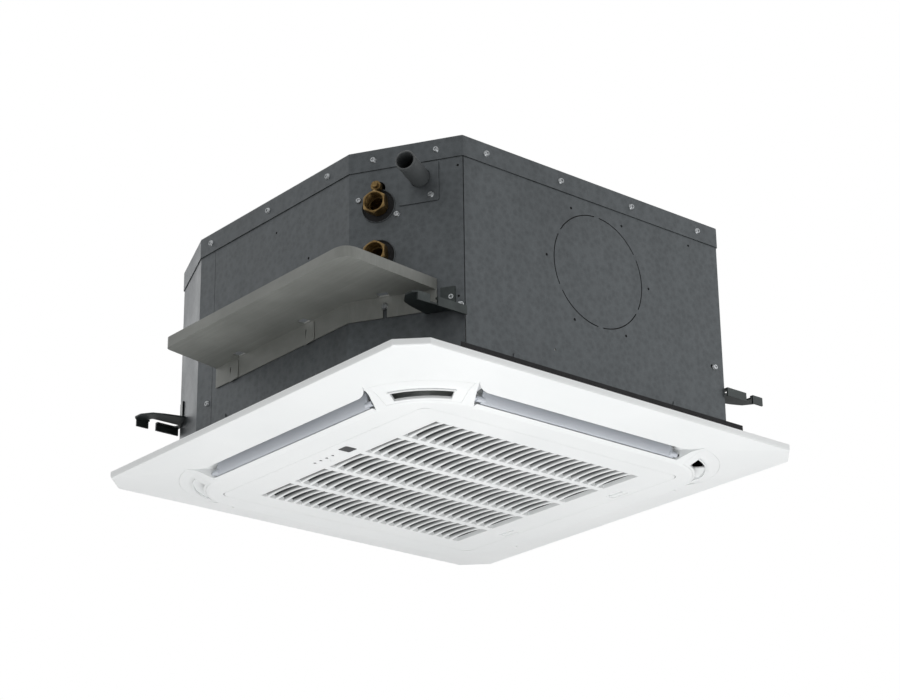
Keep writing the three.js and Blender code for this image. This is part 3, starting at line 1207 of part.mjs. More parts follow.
function cornerCover(quarter) {
  return cornerSector(COVER_INNER + GAP, COVER_OUTER - GAP, COVER_HALF_ANGLE - COVER_ANGLE_GAP, quarter)
    .intersect(skinLayer(0, COVER_WALL))
    .subtract(arcSlot(quarter));
}

// A rod along the axis of the hinge or of a louvre.
function hingeRod(radius, half) {
  const axis = new THREE.Matrix4().makeTranslation(HINGE_PIN_INSET - DOOR_HALF, 0, HINGE_PIN_RISE - FASCIA_DROP)
    .multiply(new THREE.Matrix4().makeRotationX(-Math.PI / 2));
  return disc(0, 0, radius, -half, half, ROD_SIDES, axis);
}

function pivotRod(radius, from, to, turn) {
  const axis = turn.clone().multiply(new THREE.Matrix4().makeTranslation(0, -LOUVRE_OUT, -LOUVRE_DROP))
    .multiply(new THREE.Matrix4().makeRotationY(Math.PI / 2));
  return disc(0, 0, radius, from, to, ROD_SIDES, axis);
}

piece('fascia_frame', fasciaFrame(), whiteMoulding);
SIDES.forEach((turn, quarter) => {
  piece(`corner_cover_${CORNER_NAMES[quarter]}`, cornerCover(quarter), whiteMoulding);
});

// ---------------------------------------------------------------- louvres

function louvre(turn) {
  const outer = [];
  const inner = [];
  for (let i = 0; i <= LOUVRE_FACETS; i++) {
    const share = i / LOUVRE_FACETS;
    const z = share * (LOUVRE_ABOVE + LOUVRE_BELOW) - LOUVRE_BELOW - LOUVRE_DROP;
    const bulge = LOUVRE_CAMBER * (1 - (2 * share - 1) ** 2);
    outer.push([bulge + LOUVRE_WALL / 2, z]);
    inner.push([bulge - LOUVRE_WALL / 2, z]);
  }
  const across = turn.clone().multiply(new THREE.Matrix4().set(0, 0, -1, 0, -1, 0, 0, -LOUVRE_OUT, 0, 1, 0, 0, 0, 0,
    0, 1));
  const low = -LOUVRE_DROP - LOUVRE_BELOW - OVERRUN;
  const high = LOUVRE_ABOVE - LOUVRE_DROP + OVERRUN;
  const ends = outline([[-LOUVRE_HALF_LOW, low], [LOUVRE_HALF_LOW, low], [LOUVRE_HALF_HIGH, high],
    [-LOUVRE_HALF_HIGH, high]]);
  const facing = turn.clone().multiply(new THREE.Matrix4().makeRotationX(Math.PI / 2));
  const blade = prism(outline([...outer, ...inner.reverse()]), -LOUVRE_HALF_LOW, LOUVRE_HALF_LOW, across)
    .intersect(prism(ends, LOUVRE_OUT - LOUVRE_ABOVE, LOUVRE_OUT + LOUVRE_ABOVE, facing));
  const socket = pivotRod(PIVOT_RADIUS + RUNNING_GAP, LOUVRE_BOSS_HALF - PIVOT_DEPTH - GAP,
    LOUVRE_BOSS_HALF + OVERRUN, turn);
  return blade
    .add(pivotRod(LOUVRE_BOSS, -LOUVRE_BOSS_HALF, -LOUVRE_HALF_HIGH, turn))
    .add(pivotRod(LOUVRE_BOSS, LOUVRE_HALF_HIGH, LOUVRE_BOSS_HALF, turn))
    .add(pivotRod(PIVOT_RADIUS, -LOUVRE_PIN_HALF, -LOUVRE_HALF_HIGH, turn))
    .subtract(socket);
}

// Stepper motor behind the end of an outlet, with its shaft in the louvre.
function louvreMotor(turn) {
  const lift = turn.clone().multiply(new THREE.Matrix4().makeTranslation(0, 0, STEPPER_OFFSET));
  return pivotRod(STEPPER_RADIUS, STEPPER_HALF, STEPPER_HALF + STEPPER_LENGTH, lift)
    .add(pivotRod(PIVOT_RADIUS, LOUVRE_BOSS_HALF - PIVOT_DEPTH, STEPPER_HALF + PIVOT_RADIUS, turn));
}

SIDES.forEach((turn, quarter) => {
  piece(`louvre_${SIDE_NAMES[quarter]}`, louvre(turn), louvreMoulding);
  piece(`louvre_motor_${SIDE_NAMES[quarter]}`, louvreMotor(turn), greyPlastic);
});

// ---------------------------------------------------------------- intake grille

const DOOR_FACE = -FASCIA_DROP;
const DOOR_TOP = DOOR_FACE + DOOR_WALL;
const FIELD_TOP = DOOR_FACE + BLADE_DEPTH;
const FIELD_HALF_X = ((SLOT_COLUMNS - 1) * SLOT_PITCH + SLOT_WIDTH) / 2;
const FIELD_HALF_Y = (SLOT_ROWS * (SLOT_LENGTH + SLOT_RIB) - SLOT_RIB) / 2;
const LATCH_Y = [-LATCH_SPACING / 2, LATCH_SPACING / 2];

// One slot between two leaning blades.
function grilleSlot(x, y) {
  const drop = OVERRUN;
  const lean = BLADE_LEAN / BLADE_DEPTH;
  const ring = (z) => {
    const middle = x - lean * (z - DOOR_FACE);
    return [[-1, -1], [1, -1], [1, 1], [-1, 1]].map(([sx, sy]) => new THREE.Vector3(
      middle + sx * SLOT_WIDTH / 2, y + sy * SLOT_LENGTH / 2, z));
  };
  return loft([ring(DOOR_FACE - drop), ring(FIELD_TOP + drop)]);
}

// Arch that lifts the lower edges of all the blades of one row.
function bladeArch(y) {
  const shape = new THREE.Shape();
  const half = SLOT_LENGTH / 2;
  shape.moveTo(-half, -OVERRUN);
  shape.lineTo(half, -OVERRUN);
  for (let i = 0; i <= ARCH_FACETS; i++) {
    const share = 1 - 2 * i / ARCH_FACETS;
    shape.lineTo(half * share, ARCH_RISE * (1 - share * share) + GAP / 3);
  }
  const place = new THREE.Matrix4().set(0, 0, 1, 0, 1, 0, 0, y, 0, 1, 0, DOOR_FACE, 0, 0, 0, 1);
  return prism(shape, SLOT_WIDTH / 2 - FIELD_HALF_X, FIELD_HALF_X - SLOT_WIDTH / 2, place);
}

function slotField() {
  const cuts = [];
  for (let row = 0; row < SLOT_ROWS; row++) {
    const y = (row - (SLOT_ROWS - 1) / 2) * (SLOT_LENGTH + SLOT_RIB);
    cuts.push(bladeArch(y));
    for (let column = 0; column < SLOT_COLUMNS; column++) {
      cuts.push(grilleSlot((column - (SLOT_COLUMNS - 1) / 2) * SLOT_PITCH, y));
    }
  }
  return joined(cuts);
}

function latchOpening(y) {
  return box(LATCH_EDGE - LATCH_OPENING, LATCH_EDGE, y - LATCH_LENGTH / 2, y + LATCH_LENGTH / 2,
    DOOR_FACE - OVERRUN, DOOR_TOP + OVERRUN);
}

// Rails beside a latch, and the gap in the door's rib where its tongue passes.
function latchRails(y) {
  const inner = LATCH_LENGTH / 2 + LATCH_FLANGE + RUNNING_GAP;
  const x0 = LATCH_EDGE - LATCH_OPENING - LATCH_TRAVEL - LATCH_FLANGE;
  const x1 = DOOR_HALF - DOOR_RIB_INSET;
  return [-1, 1].map((side) => {
    const from = y + side * inner;
    const to = from + side * LATCH_WALL;
    return box(x0, x1, Math.min(from, to), Math.max(from, to), DOOR_TOP - OVERRUN, DOOR_TOP + LATCH_HEIGHT);
  });
}

function latchGap(y) {
  const half = LATCH_LENGTH / 2 + LATCH_FLANGE + RUNNING_GAP;
  return box(DOOR_HALF - DOOR_RIB_INSET - 2 * DOOR_RIB_WALL, DOOR_HALF, y - half, y + half, DOOR_TOP,
    DOOR_TOP + DOOR_RIB_HEIGHT + OVERRUN);
}

function intakeGrille() {
  const ribHalf = DOOR_HALF - DOOR_RIB_INSET;
  const ribInner = ribHalf - DOOR_RIB_WALL;
  const ribTop = DOOR_TOP + DOOR_RIB_HEIGHT;
  const plate = prism(roundedRect(DOOR_HALF, DOOR_HALF, DOOR_CORNER), DOOR_FACE, DOOR_TOP);
  const rib = prism(roundedRect(ribHalf, ribHalf, DOOR_RIB_INSET), DOOR_FACE + OVERRUN, ribTop)
    .subtract(prism(roundedRect(ribInner, ribInner, DOOR_RIB_INSET - DOOR_RIB_WALL), DOOR_FACE, ribTop + OVERRUN));
  const block = box(-FIELD_HALF_X - BLADE_LEAN - FIELD_MARGIN, FIELD_HALF_X + FIELD_MARGIN,
    -FIELD_HALF_Y - FIELD_MARGIN, FIELD_HALF_Y + FIELD_MARGIN, DOOR_FACE, FIELD_TOP);
  const hinge = hingeRod(HINGE_PIN_RADIUS, HINGE_PIN_HALF)
    .subtract(box(-2 * DOOR_HALF, 0, DOOR_CORNER - DOOR_HALF, DOOR_HALF - DOOR_CORNER, DOOR_FACE - OVERRUN, ribTop));
  const lampHoles = LAMP_Y.map((y) => disc(PANEL_ROW_X, y, LAMP_RADIUS + GAP, DOOR_FACE - OVERRUN,
    DOOR_TOP + OVERRUN, ROD_SIDES));
  const window = WINDOW_SIZE / 2;
  return joined([plate, rib, block, hinge])
    .subtract(joined(LATCH_Y.flatMap((y) => [latchOpening(y), latchGap(y)])))
    .add(joined(LATCH_Y.flatMap((y) => latchRails(y))))
    .subtract(slotField())
    .subtract(joined(lampHoles))
    .subtract(box(PANEL_ROW_X - window, PANEL_ROW_X + window, WINDOW_Y - window, WINDOW_Y + window,
      DOOR_FACE - OVERRUN, DOOR_TOP + OVERRUN))
    .subtract(disc(BUTTON_X, BUTTON_Y, BUTTON_RADIUS + RUNNING_GAP, DOOR_FACE - OVERRUN, DOOR_TOP + OVERRUN,
      ROD_SIDES));
}

// Sliding latch: finger tab in the door's opening, body above it and a tongue over the ledge.
function grilleLatch(y) {
  const half = LATCH_LENGTH / 2;
  const tabHalf = half - RUNNING_GAP;
  const bodyHalf = half + LATCH_FLANGE;
  const bodyLow = DOOR_TOP + GAP;
  const tongueLow = DOOR_TOP + LEDGE_RISE + LEDGE_HEIGHT + GAP + RUNNING_GAP / 2;
  const front = OPENING_HALF - LEDGE_WIDTH - 2 * GAP;
  const back = LATCH_EDGE - LATCH_OPENING - LATCH_FLANGE;
  return joined([
    box(LATCH_EDGE - LATCH_OPENING + LATCH_TRAVEL + 2 * GAP, LATCH_EDGE - GAP, y - tabHalf, y + tabHalf,
      DOOR_FACE + 2 * GAP, bodyLow + GAP),
    box(back, front, y - bodyHalf, y + bodyHalf, bodyLow, tongueLow + LATCH_WALL),
    box(back, front + TONGUE_OVERLAP + GAP, y - tabHalf / 2, y + tabHalf / 2, tongueLow, tongueLow + LATCH_WALL),
  ]);
}

function receiverWindow() {
  const body = WINDOW_SIZE / 2 - GAP;
  const flange = WINDOW_SIZE / 2 + LENS_FLANGE;
  const low = DOOR_TOP + GAP;
  return box(PANEL_ROW_X - body, PANEL_ROW_X + body, WINDOW_Y - body, WINDOW_Y + body, DOOR_FACE + GAP, low + GAP)
    .add(box(PANEL_ROW_X - flange, PANEL_ROW_X + flange, WINDOW_Y - flange, WINDOW_Y + flange, low,
      low + LENS_FLANGE));
}

function indicatorLens() {
  const low = DOOR_TOP + GAP;
  const lamps = LAMP_Y.map((y) => disc(PANEL_ROW_X, y, LAMP_RADIUS, DOOR_FACE + GAP, low + GAP, ROD_SIDES));
  const strip = box(PANEL_ROW_X - LENS_STRIP, PANEL_ROW_X + LENS_STRIP, LAMP_Y[0] - LENS_STRIP_END,
    LAMP_Y.at(-1) + LENS_STRIP_END, low, low + LENS_FLANGE);
  return joined([strip, ...lamps]);
}

function manualButton() {
  const low = DOOR_TOP + GAP;
  return disc(BUTTON_X, BUTTON_Y, BUTTON_RADIUS, DOOR_FACE + GAP / 3, low + GAP, ROD_SIDES)
    .add(disc(BUTTON_X, BUTTON_Y, BUTTON_RADIUS + BUTTON_FLANGE, low, low + LENS_FLANGE / 2, ROD_SIDES));
}

// Washable filter: frame, bars and a thin net below them.
function airFilter() {
  const low = FIELD_TOP + GAP;
  const high = low + FILTER_HEIGHT;
  const inner = [FILTER_HALF_X - FILTER_FRAME, FILTER_HALF_Y - FILTER_FRAME];
  const frame = box(-FILTER_HALF_X, FILTER_HALF_X, -FILTER_HALF_Y, FILTER_HALF_Y, low, high)
    .subtract(box(-inner[0], inner[0], -inner[1], inner[1], low + FILTER_NET, high + OVERRUN));
  const bars = [];
  const half = FILTER_BAR / 2;
  const from = low + FILTER_NET / 2;
  const to = high - FILTER_NET;
  for (let i = 1; i <= FILTER_BARS; i++) {
    const share = 2 * i / (FILTER_BARS + 1) - 1;
    const x = share * inner[0];
    const y = share * inner[1];
    bars.push(box(x - half, x + half, -inner[1] - OVERRUN, inner[1] + OVERRUN, from, to));
    bars.push(box(-inner[0] - OVERRUN, inner[0] + OVERRUN, y - half, y + half, from, to - FILTER_NET));
  }
  return joined([frame, ...bars]);
}

piece('intake_grille', intakeGrille(), whiteMoulding);
piece('air_filter', airFilter(), filterPlastic);
LATCH_Y.forEach((y, i) => piece(`grille_latch_${i + 1}`, grilleLatch(y), whiteMoulding));
piece('receiver_window', receiverWindow(), darkLens);
piece('indicator_lens', indicatorLens(), lampLens);
piece('manual_button', manualButton(), whiteMoulding);

export default unit;
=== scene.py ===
"""Looks of a compact four-way ceiling cassette air conditioner, seen from below at its pipe corner.

Lengths are in millimetres and become metres where a mesh is made. +Z is up and the origin is the middle of
the unit in the ceiling plane. The pipes leave through the -X/-Y corner, which faces the camera.
"""

import json
import math

import bmesh
import bpy
from mathutils import Matrix, Vector


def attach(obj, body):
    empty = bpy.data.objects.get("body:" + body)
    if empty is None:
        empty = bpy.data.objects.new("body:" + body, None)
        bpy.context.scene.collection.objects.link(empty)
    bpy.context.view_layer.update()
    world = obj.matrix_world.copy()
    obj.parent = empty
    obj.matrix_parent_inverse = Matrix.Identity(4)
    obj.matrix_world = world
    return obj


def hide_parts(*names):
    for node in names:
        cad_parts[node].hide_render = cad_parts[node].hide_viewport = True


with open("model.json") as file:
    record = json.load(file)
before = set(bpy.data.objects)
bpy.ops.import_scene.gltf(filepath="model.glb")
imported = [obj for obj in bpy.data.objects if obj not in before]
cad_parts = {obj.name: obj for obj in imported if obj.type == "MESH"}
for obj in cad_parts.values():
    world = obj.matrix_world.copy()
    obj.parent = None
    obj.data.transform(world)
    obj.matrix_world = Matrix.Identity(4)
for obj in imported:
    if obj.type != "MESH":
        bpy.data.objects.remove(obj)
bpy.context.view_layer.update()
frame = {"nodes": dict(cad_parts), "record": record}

MM = 0.001
UP = Vector((0, 0, 1))


# ---------------------------------------------------------------- camera and light

CAMERA_PLACE = (-1794.7, -2147.3, -952.9)
CAMERA_AZIMUTH = 39.99           # degrees from +Y towards +X
CAMERA_PITCH = 21.66             # degrees up
CAMERA_ROLL = -0.687
CAMERA_LENS = 91.33
CAMERA_SENSOR = 36
CAMERA_REACH = 50                # metres

FLOOR_DEPTH = 1250               # floor below the ceiling plane
FLOOR_HALF = 6000

FLOOR_TONES = ((0.82,) * 3, (0.88,) * 3)

LAMP_AIM = (0, 0, 0.1)           # metres
WORLD_LIGHT = 0.45               # of the surroundings on the object


def add_camera():
    data = bpy.data.cameras.new("camera")
    data.lens = CAMERA_LENS
    data.sensor_width = CAMERA_SENSOR
    data.clip_end = CAMERA_REACH
    camera = bpy.data.objects.new("camera", data)
    azimuth = math.radians(CAMERA_AZIMUTH)
    pitch = math.radians(CAMERA_PITCH)
    level = math.cos(pitch)
    forward = Vector((math.sin(azimuth) * level, math.cos(azimuth) * level, math.sin(pitch)))
    roll = Matrix.Rotation(math.radians(CAMERA_ROLL), 4, "Z")
    turn = forward.to_track_quat("-Z", "Y").to_matrix().to_4x4()
    camera.matrix_world = Matrix.Translation(Vector(CAMERA_PLACE) * MM) @ turn @ roll
    bpy.context.scene.collection.objects.link(camera)
    bpy.context.scene.camera = camera


def add_lamp(name, place, power, size):
    """A square soft box that faces the middle of the unit; power in watts, place and size in metres."""
    data = bpy.data.lights.new(name, "AREA")
    data.shape = "SQUARE"
    data.size = size
    data.energy = power
    lamp = bpy.data.objects.new(name, data)
    toward = Vector(LAMP_AIM) - Vector(place)
    lamp.matrix_world = Matrix.Translation(place) @ toward.to_track_quat("-Z", "Y").to_matrix().to_4x4()
    bpy.context.scene.collection.objects.link(lamp)


def add_light():
    add_lamp("key_right", (2.6, -2.2, 0.5), 13, 1.6)
    add_lamp("far_left", (-0.3, 3.1, 0.9), 10, 1.8)
    add_lamp("under_soft", (-0.1, -0.2, -1.25), 30, 2.2)
    add_lamp("top_soft", (0.4, 0.6, 2.8), 16, 2.0)


def add_world():
    """Soft white surroundings: plain white to the eye and in reflections, dimmer as light."""
    world = bpy.data.worlds.new("studio")
    world.use_nodes = True
    tree = world.node_tree
    tree.nodes.clear()
    path = tree.nodes.new("ShaderNodeLightPath")
    seen = add_math(tree, "MAXIMUM", path.outputs["Is Camera Ray"], path.outputs["Is Glossy Ray"])
    seen = add_math(tree, "MAXIMUM", seen, path.outputs["Is Transmission Ray"])
    strength = add_math(tree, "MULTIPLY_ADD", seen, 1 - WORLD_LIGHT, WORLD_LIGHT)
    background = add_node(tree, "ShaderNodeBackground", Color=(1, 1, 1, 1), Strength=strength)
    output = tree.nodes.new("ShaderNodeOutputWorld")
    tree.links.new(background.outputs[0], output.inputs[0])
    bpy.context.scene.world = world


def add_floor():
    half = FLOOR_HALF * MM
    depth = -FLOOR_DEPTH * MM
    mesh = bpy.data.meshes.new("floor")
    corners = [(-half, -half, depth), (half, -half, depth), (half, half, depth), (-half, half, depth)]
    mesh.from_pydata(corners, [], [(0, 1, 2, 3)])
    floor = bpy.data.objects.new("floor", mesh)
    bpy.context.scene.collection.objects.link(floor)
    material, tree, at = new_material("pale_floor")
    tone = colour_ramp(tree, noise(tree, at, 3, 4), zip((0.35, 0.65), FLOOR_TONES))
    mesh.materials.append(surface(material, tone, 0.8))


# ---------------------------------------------------------------- shader helpers

def add_node(tree, kind, settings=None, **inputs):
    """A new node; each input is a plain value or the output of another node. Underscores stand for spaces."""
    node = tree.nodes.new(kind)
    for key, value in (settings or {}).items():
        setattr(node, key, value)
    for key, value in inputs.items():
        connect(tree, node.inputs[key.replace("_", " ")], value)
    return node


def connect(tree, socket, value):
    if isinstance(value, bpy.types.NodeSocket):
        tree.links.new(value, socket)
    else:
        socket.default_value = value


def add_math(tree, operation, *values):
    node = tree.nodes.new("ShaderNodeMath")
    node.operation = operation
    for socket, value in zip(node.inputs, values):
        connect(tree, socket, value)
    return node.outputs[0]


def new_material(name):
    """An empty material, its node tree and the places on the object that it colours."""
    material = bpy.data.materials.new(name)
    material.use_nodes = True
    tree = material.node_tree
    tree.nodes.clear()
    return material, tree, object_coordinates(tree)


def object_coordinates(tree, stretch=(1, 1, 1)):
    place = tree.nodes.new("ShaderNodeTexCoord").outputs["Object"]
    return add_node(tree, "ShaderNodeMapping", Vector=place, Scale=stretch).outputs[0]


def noise(tree, at, scale, detail=2.0, rough=0.55):
    """Cloudy grain from 0 to 1; scale is in features per metre."""
    node = add_node(tree, "ShaderNodeTexNoise", Vector=at, Scale=scale, Detail=detail, Roughness=rough)
    return node.outputs[0]


def cells(tree, at, scale):
    """Crystal-like cells, darkest in their middles; scale is in cells per metre."""
    return add_node(tree, "ShaderNodeTexVoronoi", Vector=at, Scale=scale).outputs["Distance"]


def stripes(tree, at, scale, direction):
    node = add_node(tree, "ShaderNodeTexWave", {"bands_direction": direction}, Vector=at, Scale=scale)
    return node.outputs[1]


def colour_ramp(tree, share, stops):
    """A smooth run of colours; each stop is (share, colour)."""
    stops = list(stops)
    node = add_node(tree, "ShaderNodeValToRGB", Fac=share)
    ramp = node.color_ramp
    while len(ramp.elements) < len(stops):
        ramp.elements.new(0.5)
    for element, (position, colour) in zip(ramp.elements, stops):
        element.position = position
        element.color = (*colour, 1)
    return node.outputs[0]


def value_range(tree, share, low, high, start=0.0, end=1.0):
    """Maps a share between start and end to the range from low to high."""
    node = add_node(tree, "ShaderNodeMapRange", Value=share)
    for socket, value in zip(node.inputs[1:5], (start, end, low, high)):
        socket.default_value = value
    return node.outputs[0]


def blend_colours(tree, share, first, second, mode):
    node = tree.nodes.new("ShaderNodeMix")
    node.data_type = "RGBA"
    node.blend_type = mode
    connect(tree, node.inputs[0], share)
    for socket, value in zip(node.inputs[6:8], (first, second)):
        connect(tree, socket, value if isinstance(value, bpy.types.NodeSocket) else (*value, 1))
    return node.outputs[2]


def relief(tree, height, depth, strength=1.0, below=None):
    """Bumps of a depth in millimetres."""
    node = add_node(tree, "ShaderNodeBump", Height=height, Distance=depth * MM, Strength=strength)
    if below is not None:
        tree.links.new(below, node.inputs["Normal"])
    return node.outputs[0]


def surface(material, colour, roughness, metallic=0.0, normal=None):
    """Ends a material's tree in a surface and gives the material back."""
    tree = material.node_tree
    shader = add_node(tree, "ShaderNodeBsdfPrincipled", Base_Color=colour, Roughness=roughness,
                      Metallic=metallic)
    if normal is not None:
        tree.links.new(normal, shader.inputs["Normal"])
    add_node(tree, "ShaderNodeOutputMaterial", Surface=shader.outputs[0])
    return material


# ---------------------------------------------------------------- finishes

def casing_steel():
    """Dark grey coated galvanised sheet: faint crystals, cloudy stains, rolled grain and fine scratches."""
    material, tree, at = new_material("casing_steel")
    crystals = value_range(tree, cells(tree, at, 130), 0.0, 1.0, 0.1, 0.75)
    stains = noise(tree, at, 9, 5, 0.6)
    rolled = noise(tree, object_coordinates(tree, (60, 60, 9)), 1, 4, 0.6)
    grain = noise(tree, at, 900, 2, 0.7)
    tone = colour_ramp(tree, stains, [(0.3, (0.088, 0.097, 0.103)), (0.5, (0.108, 0.119, 0.126)),
                                      (0.7, (0.128, 0.14, 0.148))])
    tone = blend_colours(tree, 0.35, tone, value_range(tree, rolled, 0.06, 0.2, 0.3, 0.7), "OVERLAY")
    speckle = value_range(tree, grain, 0.78, 1.2, 0.3, 0.7)
    tone = blend_colours(tree, 0.5, tone, speckle, "MULTIPLY")
    tone = blend_colours(tree, 0.12, tone, crystals, "SOFT_LIGHT")
    rough = value_range(tree, stains, 0.42, 0.6, 0.3, 0.7)
    scratches = noise(tree, object_coordinates(tree, (14, 14, 420)), 1, 3, 0.7)
    scratches = value_range(tree, scratches, 0, 1, 0.6, 0.75)
    normal = relief(tree, grain, 0.05, 0.5)
    normal = relief(tree, scratches, 0.04, 0.4, normal)
    normal = relief(tree, noise(tree, at, 7, 2), 1.2, 0.35, normal)
    return surface(material, tone, rough, 0.75, normal)


def bracket_steel():
    """Near-black coated bracket steel with a slight gloss and worn, paler patches."""
    material, tree, at = new_material("bracket_steel")
    worn = noise(tree, at, 60, 5, 0.65)
    tone = colour_ramp(tree, worn, [(0.35, (0.018, 0.024, 0.024)), (0.6, (0.034, 0.043, 0.042)),
                                    (0.8, (0.07, 0.082, 0.08))])
    normal = relief(tree, noise(tree, at, 700, 3), 0.06, 0.5)
    return surface(material, tone, value_range(tree, worn, 0.35, 0.55), 0.4, normal)


def tray_paint():
    """Warm grey coated tray steel with a soft orange-peel skin, rub marks and a dusty bloom."""
    material, tree, at = new_material("tray_paint")
    bloom = noise(tree, at, 11, 5, 0.6)
    tone = colour_ramp(tree, bloom, [(0.3, (0.185, 0.192, 0.178)), (0.55, (0.225, 0.232, 0.216)),
                                     (0.75, (0.265, 0.272, 0.254))])
    rub = noise(tree, object_coordinates(tree, (180, 9, 30)), 1, 3, 0.7)
    rub = value_range(tree, rub, 0.9, 1.15, 0.45, 0.75)
    tone = blend_colours(tree, 0.6, tone, rub, "MULTIPLY")
    normal = relief(tree, noise(tree, at, 420, 2), 0.06, 0.6)
    normal = relief(tree, noise(tree, at, 10, 1), 1.0, 0.3, normal)
    return surface(material, tone, value_range(tree, bloom, 0.45, 0.62), 0.1, normal)


def foam(name, dark, light, bead, depth):
    """Cellular foam: a pattern of closed beads of a size in millimetres."""
    material, tree, at = new_material(name)
    beads = cells(tree, at, 1000 / bead)
    tone = colour_ramp(tree, noise(tree, at, 40, 4), [(0.3, dark), (0.7, light)])
    tone = blend_colours(tree, 0.4, tone, value_range(tree, beads, 1.05, 0.75, 0.1, 0.7), "MULTIPLY")
    normal = relief(tree, beads, -depth, 0.8)
    return surface(material, tone, value_range(tree, beads, 0.8, 0.95), 0.0, normal)


def turned_metal(name, dark, mid, light, roughness):
    """Machined and slightly tarnished metal with fine tool marks."""
    material, tree, at = new_material(name)
    tarnish = noise(tree, at, 120, 5, 0.65)
    tone = colour_ramp(tree, tarnish, [(0.3, dark), (0.52, mid), (0.75, light)])
    marks = noise(tree, object_coordinates(tree, (500, 500, 2600)), 1, 2)
    normal = relief(tree, marks, 0.05, 0.5)
    return surface(material, tone, value_range(tree, tarnish, roughness + 0.12, roughness), 0.85, normal)


def zinc_steel():
    """Bright zinc-plated steel with a fine crystal pattern."""
    material, tree, at = new_material("zinc_steel")
    crystals = value_range(tree, cells(tree, at, 900), 0.2, 0.8, 0.0, 0.7)
    tone = blend_colours(tree, 0.3, (0.36, 0.375, 0.385), crystals, "SOFT_LIGHT")
    tone = blend_colours(tree, 0.5, tone, value_range(tree, noise(tree, at, 60, 4), 0.75, 1.1), "MULTIPLY")
    normal = relief(tree, noise(tree, at, 800, 2), 0.03, 0.5)
    return surface(material, tone, value_range(tree, noise(tree, at, 90, 3), 0.25, 0.42), 0.85, normal)


def fin_stock():
    """Thin aluminium fins with a milky coating."""
    material, tree, at = new_material("fin_stock")
    tone = colour_ramp(tree, noise(tree, at, 30, 4), [(0.3, (0.5, 0.54, 0.56)), (0.7, (0.66, 0.69, 0.7))])
    normal = relief(tree, stripes(tree, at, 120, "Z"), 0.3, 0.6)
    return surface(material, tone, value_range(tree, noise(tree, at, 200, 3), 0.3, 0.5), 0.7, normal)


def moulding(name, dark, light, roughness, texture=0.04, fineness=900):
    """Moulded plastic: even colour with a faint drift, and the fine texture of its mould."""
    material, tree, at = new_material(name)
    drift = noise(tree, at, 6, 4, 0.5)
    tone = colour_ramp(tree, drift, [(0.35, dark), (0.65, light)])
    grain = noise(tree, at, fineness, 2, 0.6)
    normal = relief(tree, grain, texture, 0.5)
    rough = value_range(tree, noise(tree, at, 45, 4), roughness - 0.05, roughness + 0.06, 0.3, 0.7)
    return surface(material, tone, rough, 0.0, normal)


PAINTED_SHADE_START = -28.4              # heights between which shade is painted onto the grille's blades, from none to full
PAINTED_SHADE_FULL = -25


def blade_white():
    """White moulding of the grille's blades, with painted shade that greys them from their lower edges up into
    the slots.
    """
    material, tree, at = new_material("blade_white")
    height = add_node(tree, "ShaderNodeSeparateXYZ", Vector=at).outputs["Z"]
    uneven = add_math(tree, "ADD", height, value_range(tree, noise(tree, at, 60, 3), -0.0004, 0.0004))
    # painted shade: the blades darken with height, standing in for the shade that falls deep between them
    painted_shade = value_range(tree, uneven, 1.0, 0.24, PAINTED_SHADE_START * MM, PAINTED_SHADE_FULL * MM)
    tone = blend_colours(tree, 1.0, (0.87, 0.89, 0.89), painted_shade, "MULTIPLY")
    return surface(material, tone, 0.45, 0.0, relief(tree, noise(tree, at, 900, 2, 0.6), 0.03, 0.5))


def filter_net():
    """Fine dark net: a square weave of thin threads."""
    material, tree, at = new_material("filter_net")
    across = stripes(tree, at, 160, "X")
    along = stripes(tree, at, 160, "Y")
    weave = add_math(tree, "MAXIMUM", across, along)
    tone = colour_ramp(tree, weave, [(0.3, (0.006, 0.007, 0.008)), (0.9, (0.05, 0.056, 0.06))])
    return surface(material, tone, value_range(tree, weave, 0.9, 0.55), 0.0, relief(tree, weave, 0.3, 0.8))


def enamel():
    """Grey stoved enamel of the motor with a slight orange peel."""
    material, tree, at = new_material("motor_enamel")
    tone = colour_ramp(tree, noise(tree, at, 20, 4), [(0.3, (0.27, 0.29, 0.31)), (0.7, (0.34, 0.36, 0.38))])
    normal = relief(tree, noise(tree, at, 350, 2), 0.08, 0.6)
    return surface(material, tone, value_range(tree, noise(tree, at, 70, 3), 0.3, 0.42), 0.3, normal)


FINISHES = {
    "casing_steel": casing_steel(),
    "bracket_steel": bracket_steel(),
    "tray_paint": tray_paint(),
    "black_foam": foam("black_foam", (0.01, 0.01, 0.011), (0.022, 0.022, 0.024), 1.2, 0.25),
    "white_foam": foam("white_foam", (0.72, 0.73, 0.71), (0.8, 0.8, 0.78), 3.5, 0.5),
    "brass": turned_metal("brass", (0.075, 0.048, 0.018), (0.17, 0.11, 0.042), (0.3, 0.21, 0.09), 0.34),
    "copper": turned_metal("copper", (0.3, 0.12, 0.06), (0.52, 0.22, 0.12), (0.66, 0.33, 0.2), 0.3),
    "coil_fins": fin_stock(),
    "plain_steel": zinc_steel(),
    "motor": enamel(),
    "rubber": moulding("rubber", (0.013, 0.013, 0.014), (0.022, 0.022, 0.023), 0.8, 0.1, 500),
    "fan_plastic": moulding("fan_plastic", (0.035, 0.038, 0.042), (0.05, 0.054, 0.058), 0.45),
    "grey_plastic": moulding("grey_plastic", (0.05, 0.055, 0.057), (0.068, 0.074, 0.076), 0.48),
    "blade_white": blade_white(),
    "fascia_white": moulding("fascia_white", (0.86, 0.88, 0.88), (0.9, 0.915, 0.915), 0.42, 0.03),
    # painted shade: the louvres are white moulding like the fascia; this darker bluish grey paints in the
    # shade of the outlets they sit in
    "louvre_grey": moulding("louvre_grey", (0.6, 0.63, 0.68), (0.66, 0.69, 0.74), 0.62, 0.03),
    "filter": filter_net(),
    "dark_lens": moulding("dark_lens", (0.01, 0.012, 0.014), (0.02, 0.023, 0.026), 0.12, 0.01),
    "lamp_lens": moulding("lamp_lens", (0.03, 0.036, 0.035), (0.05, 0.058, 0.056), 0.2, 0.01),
}


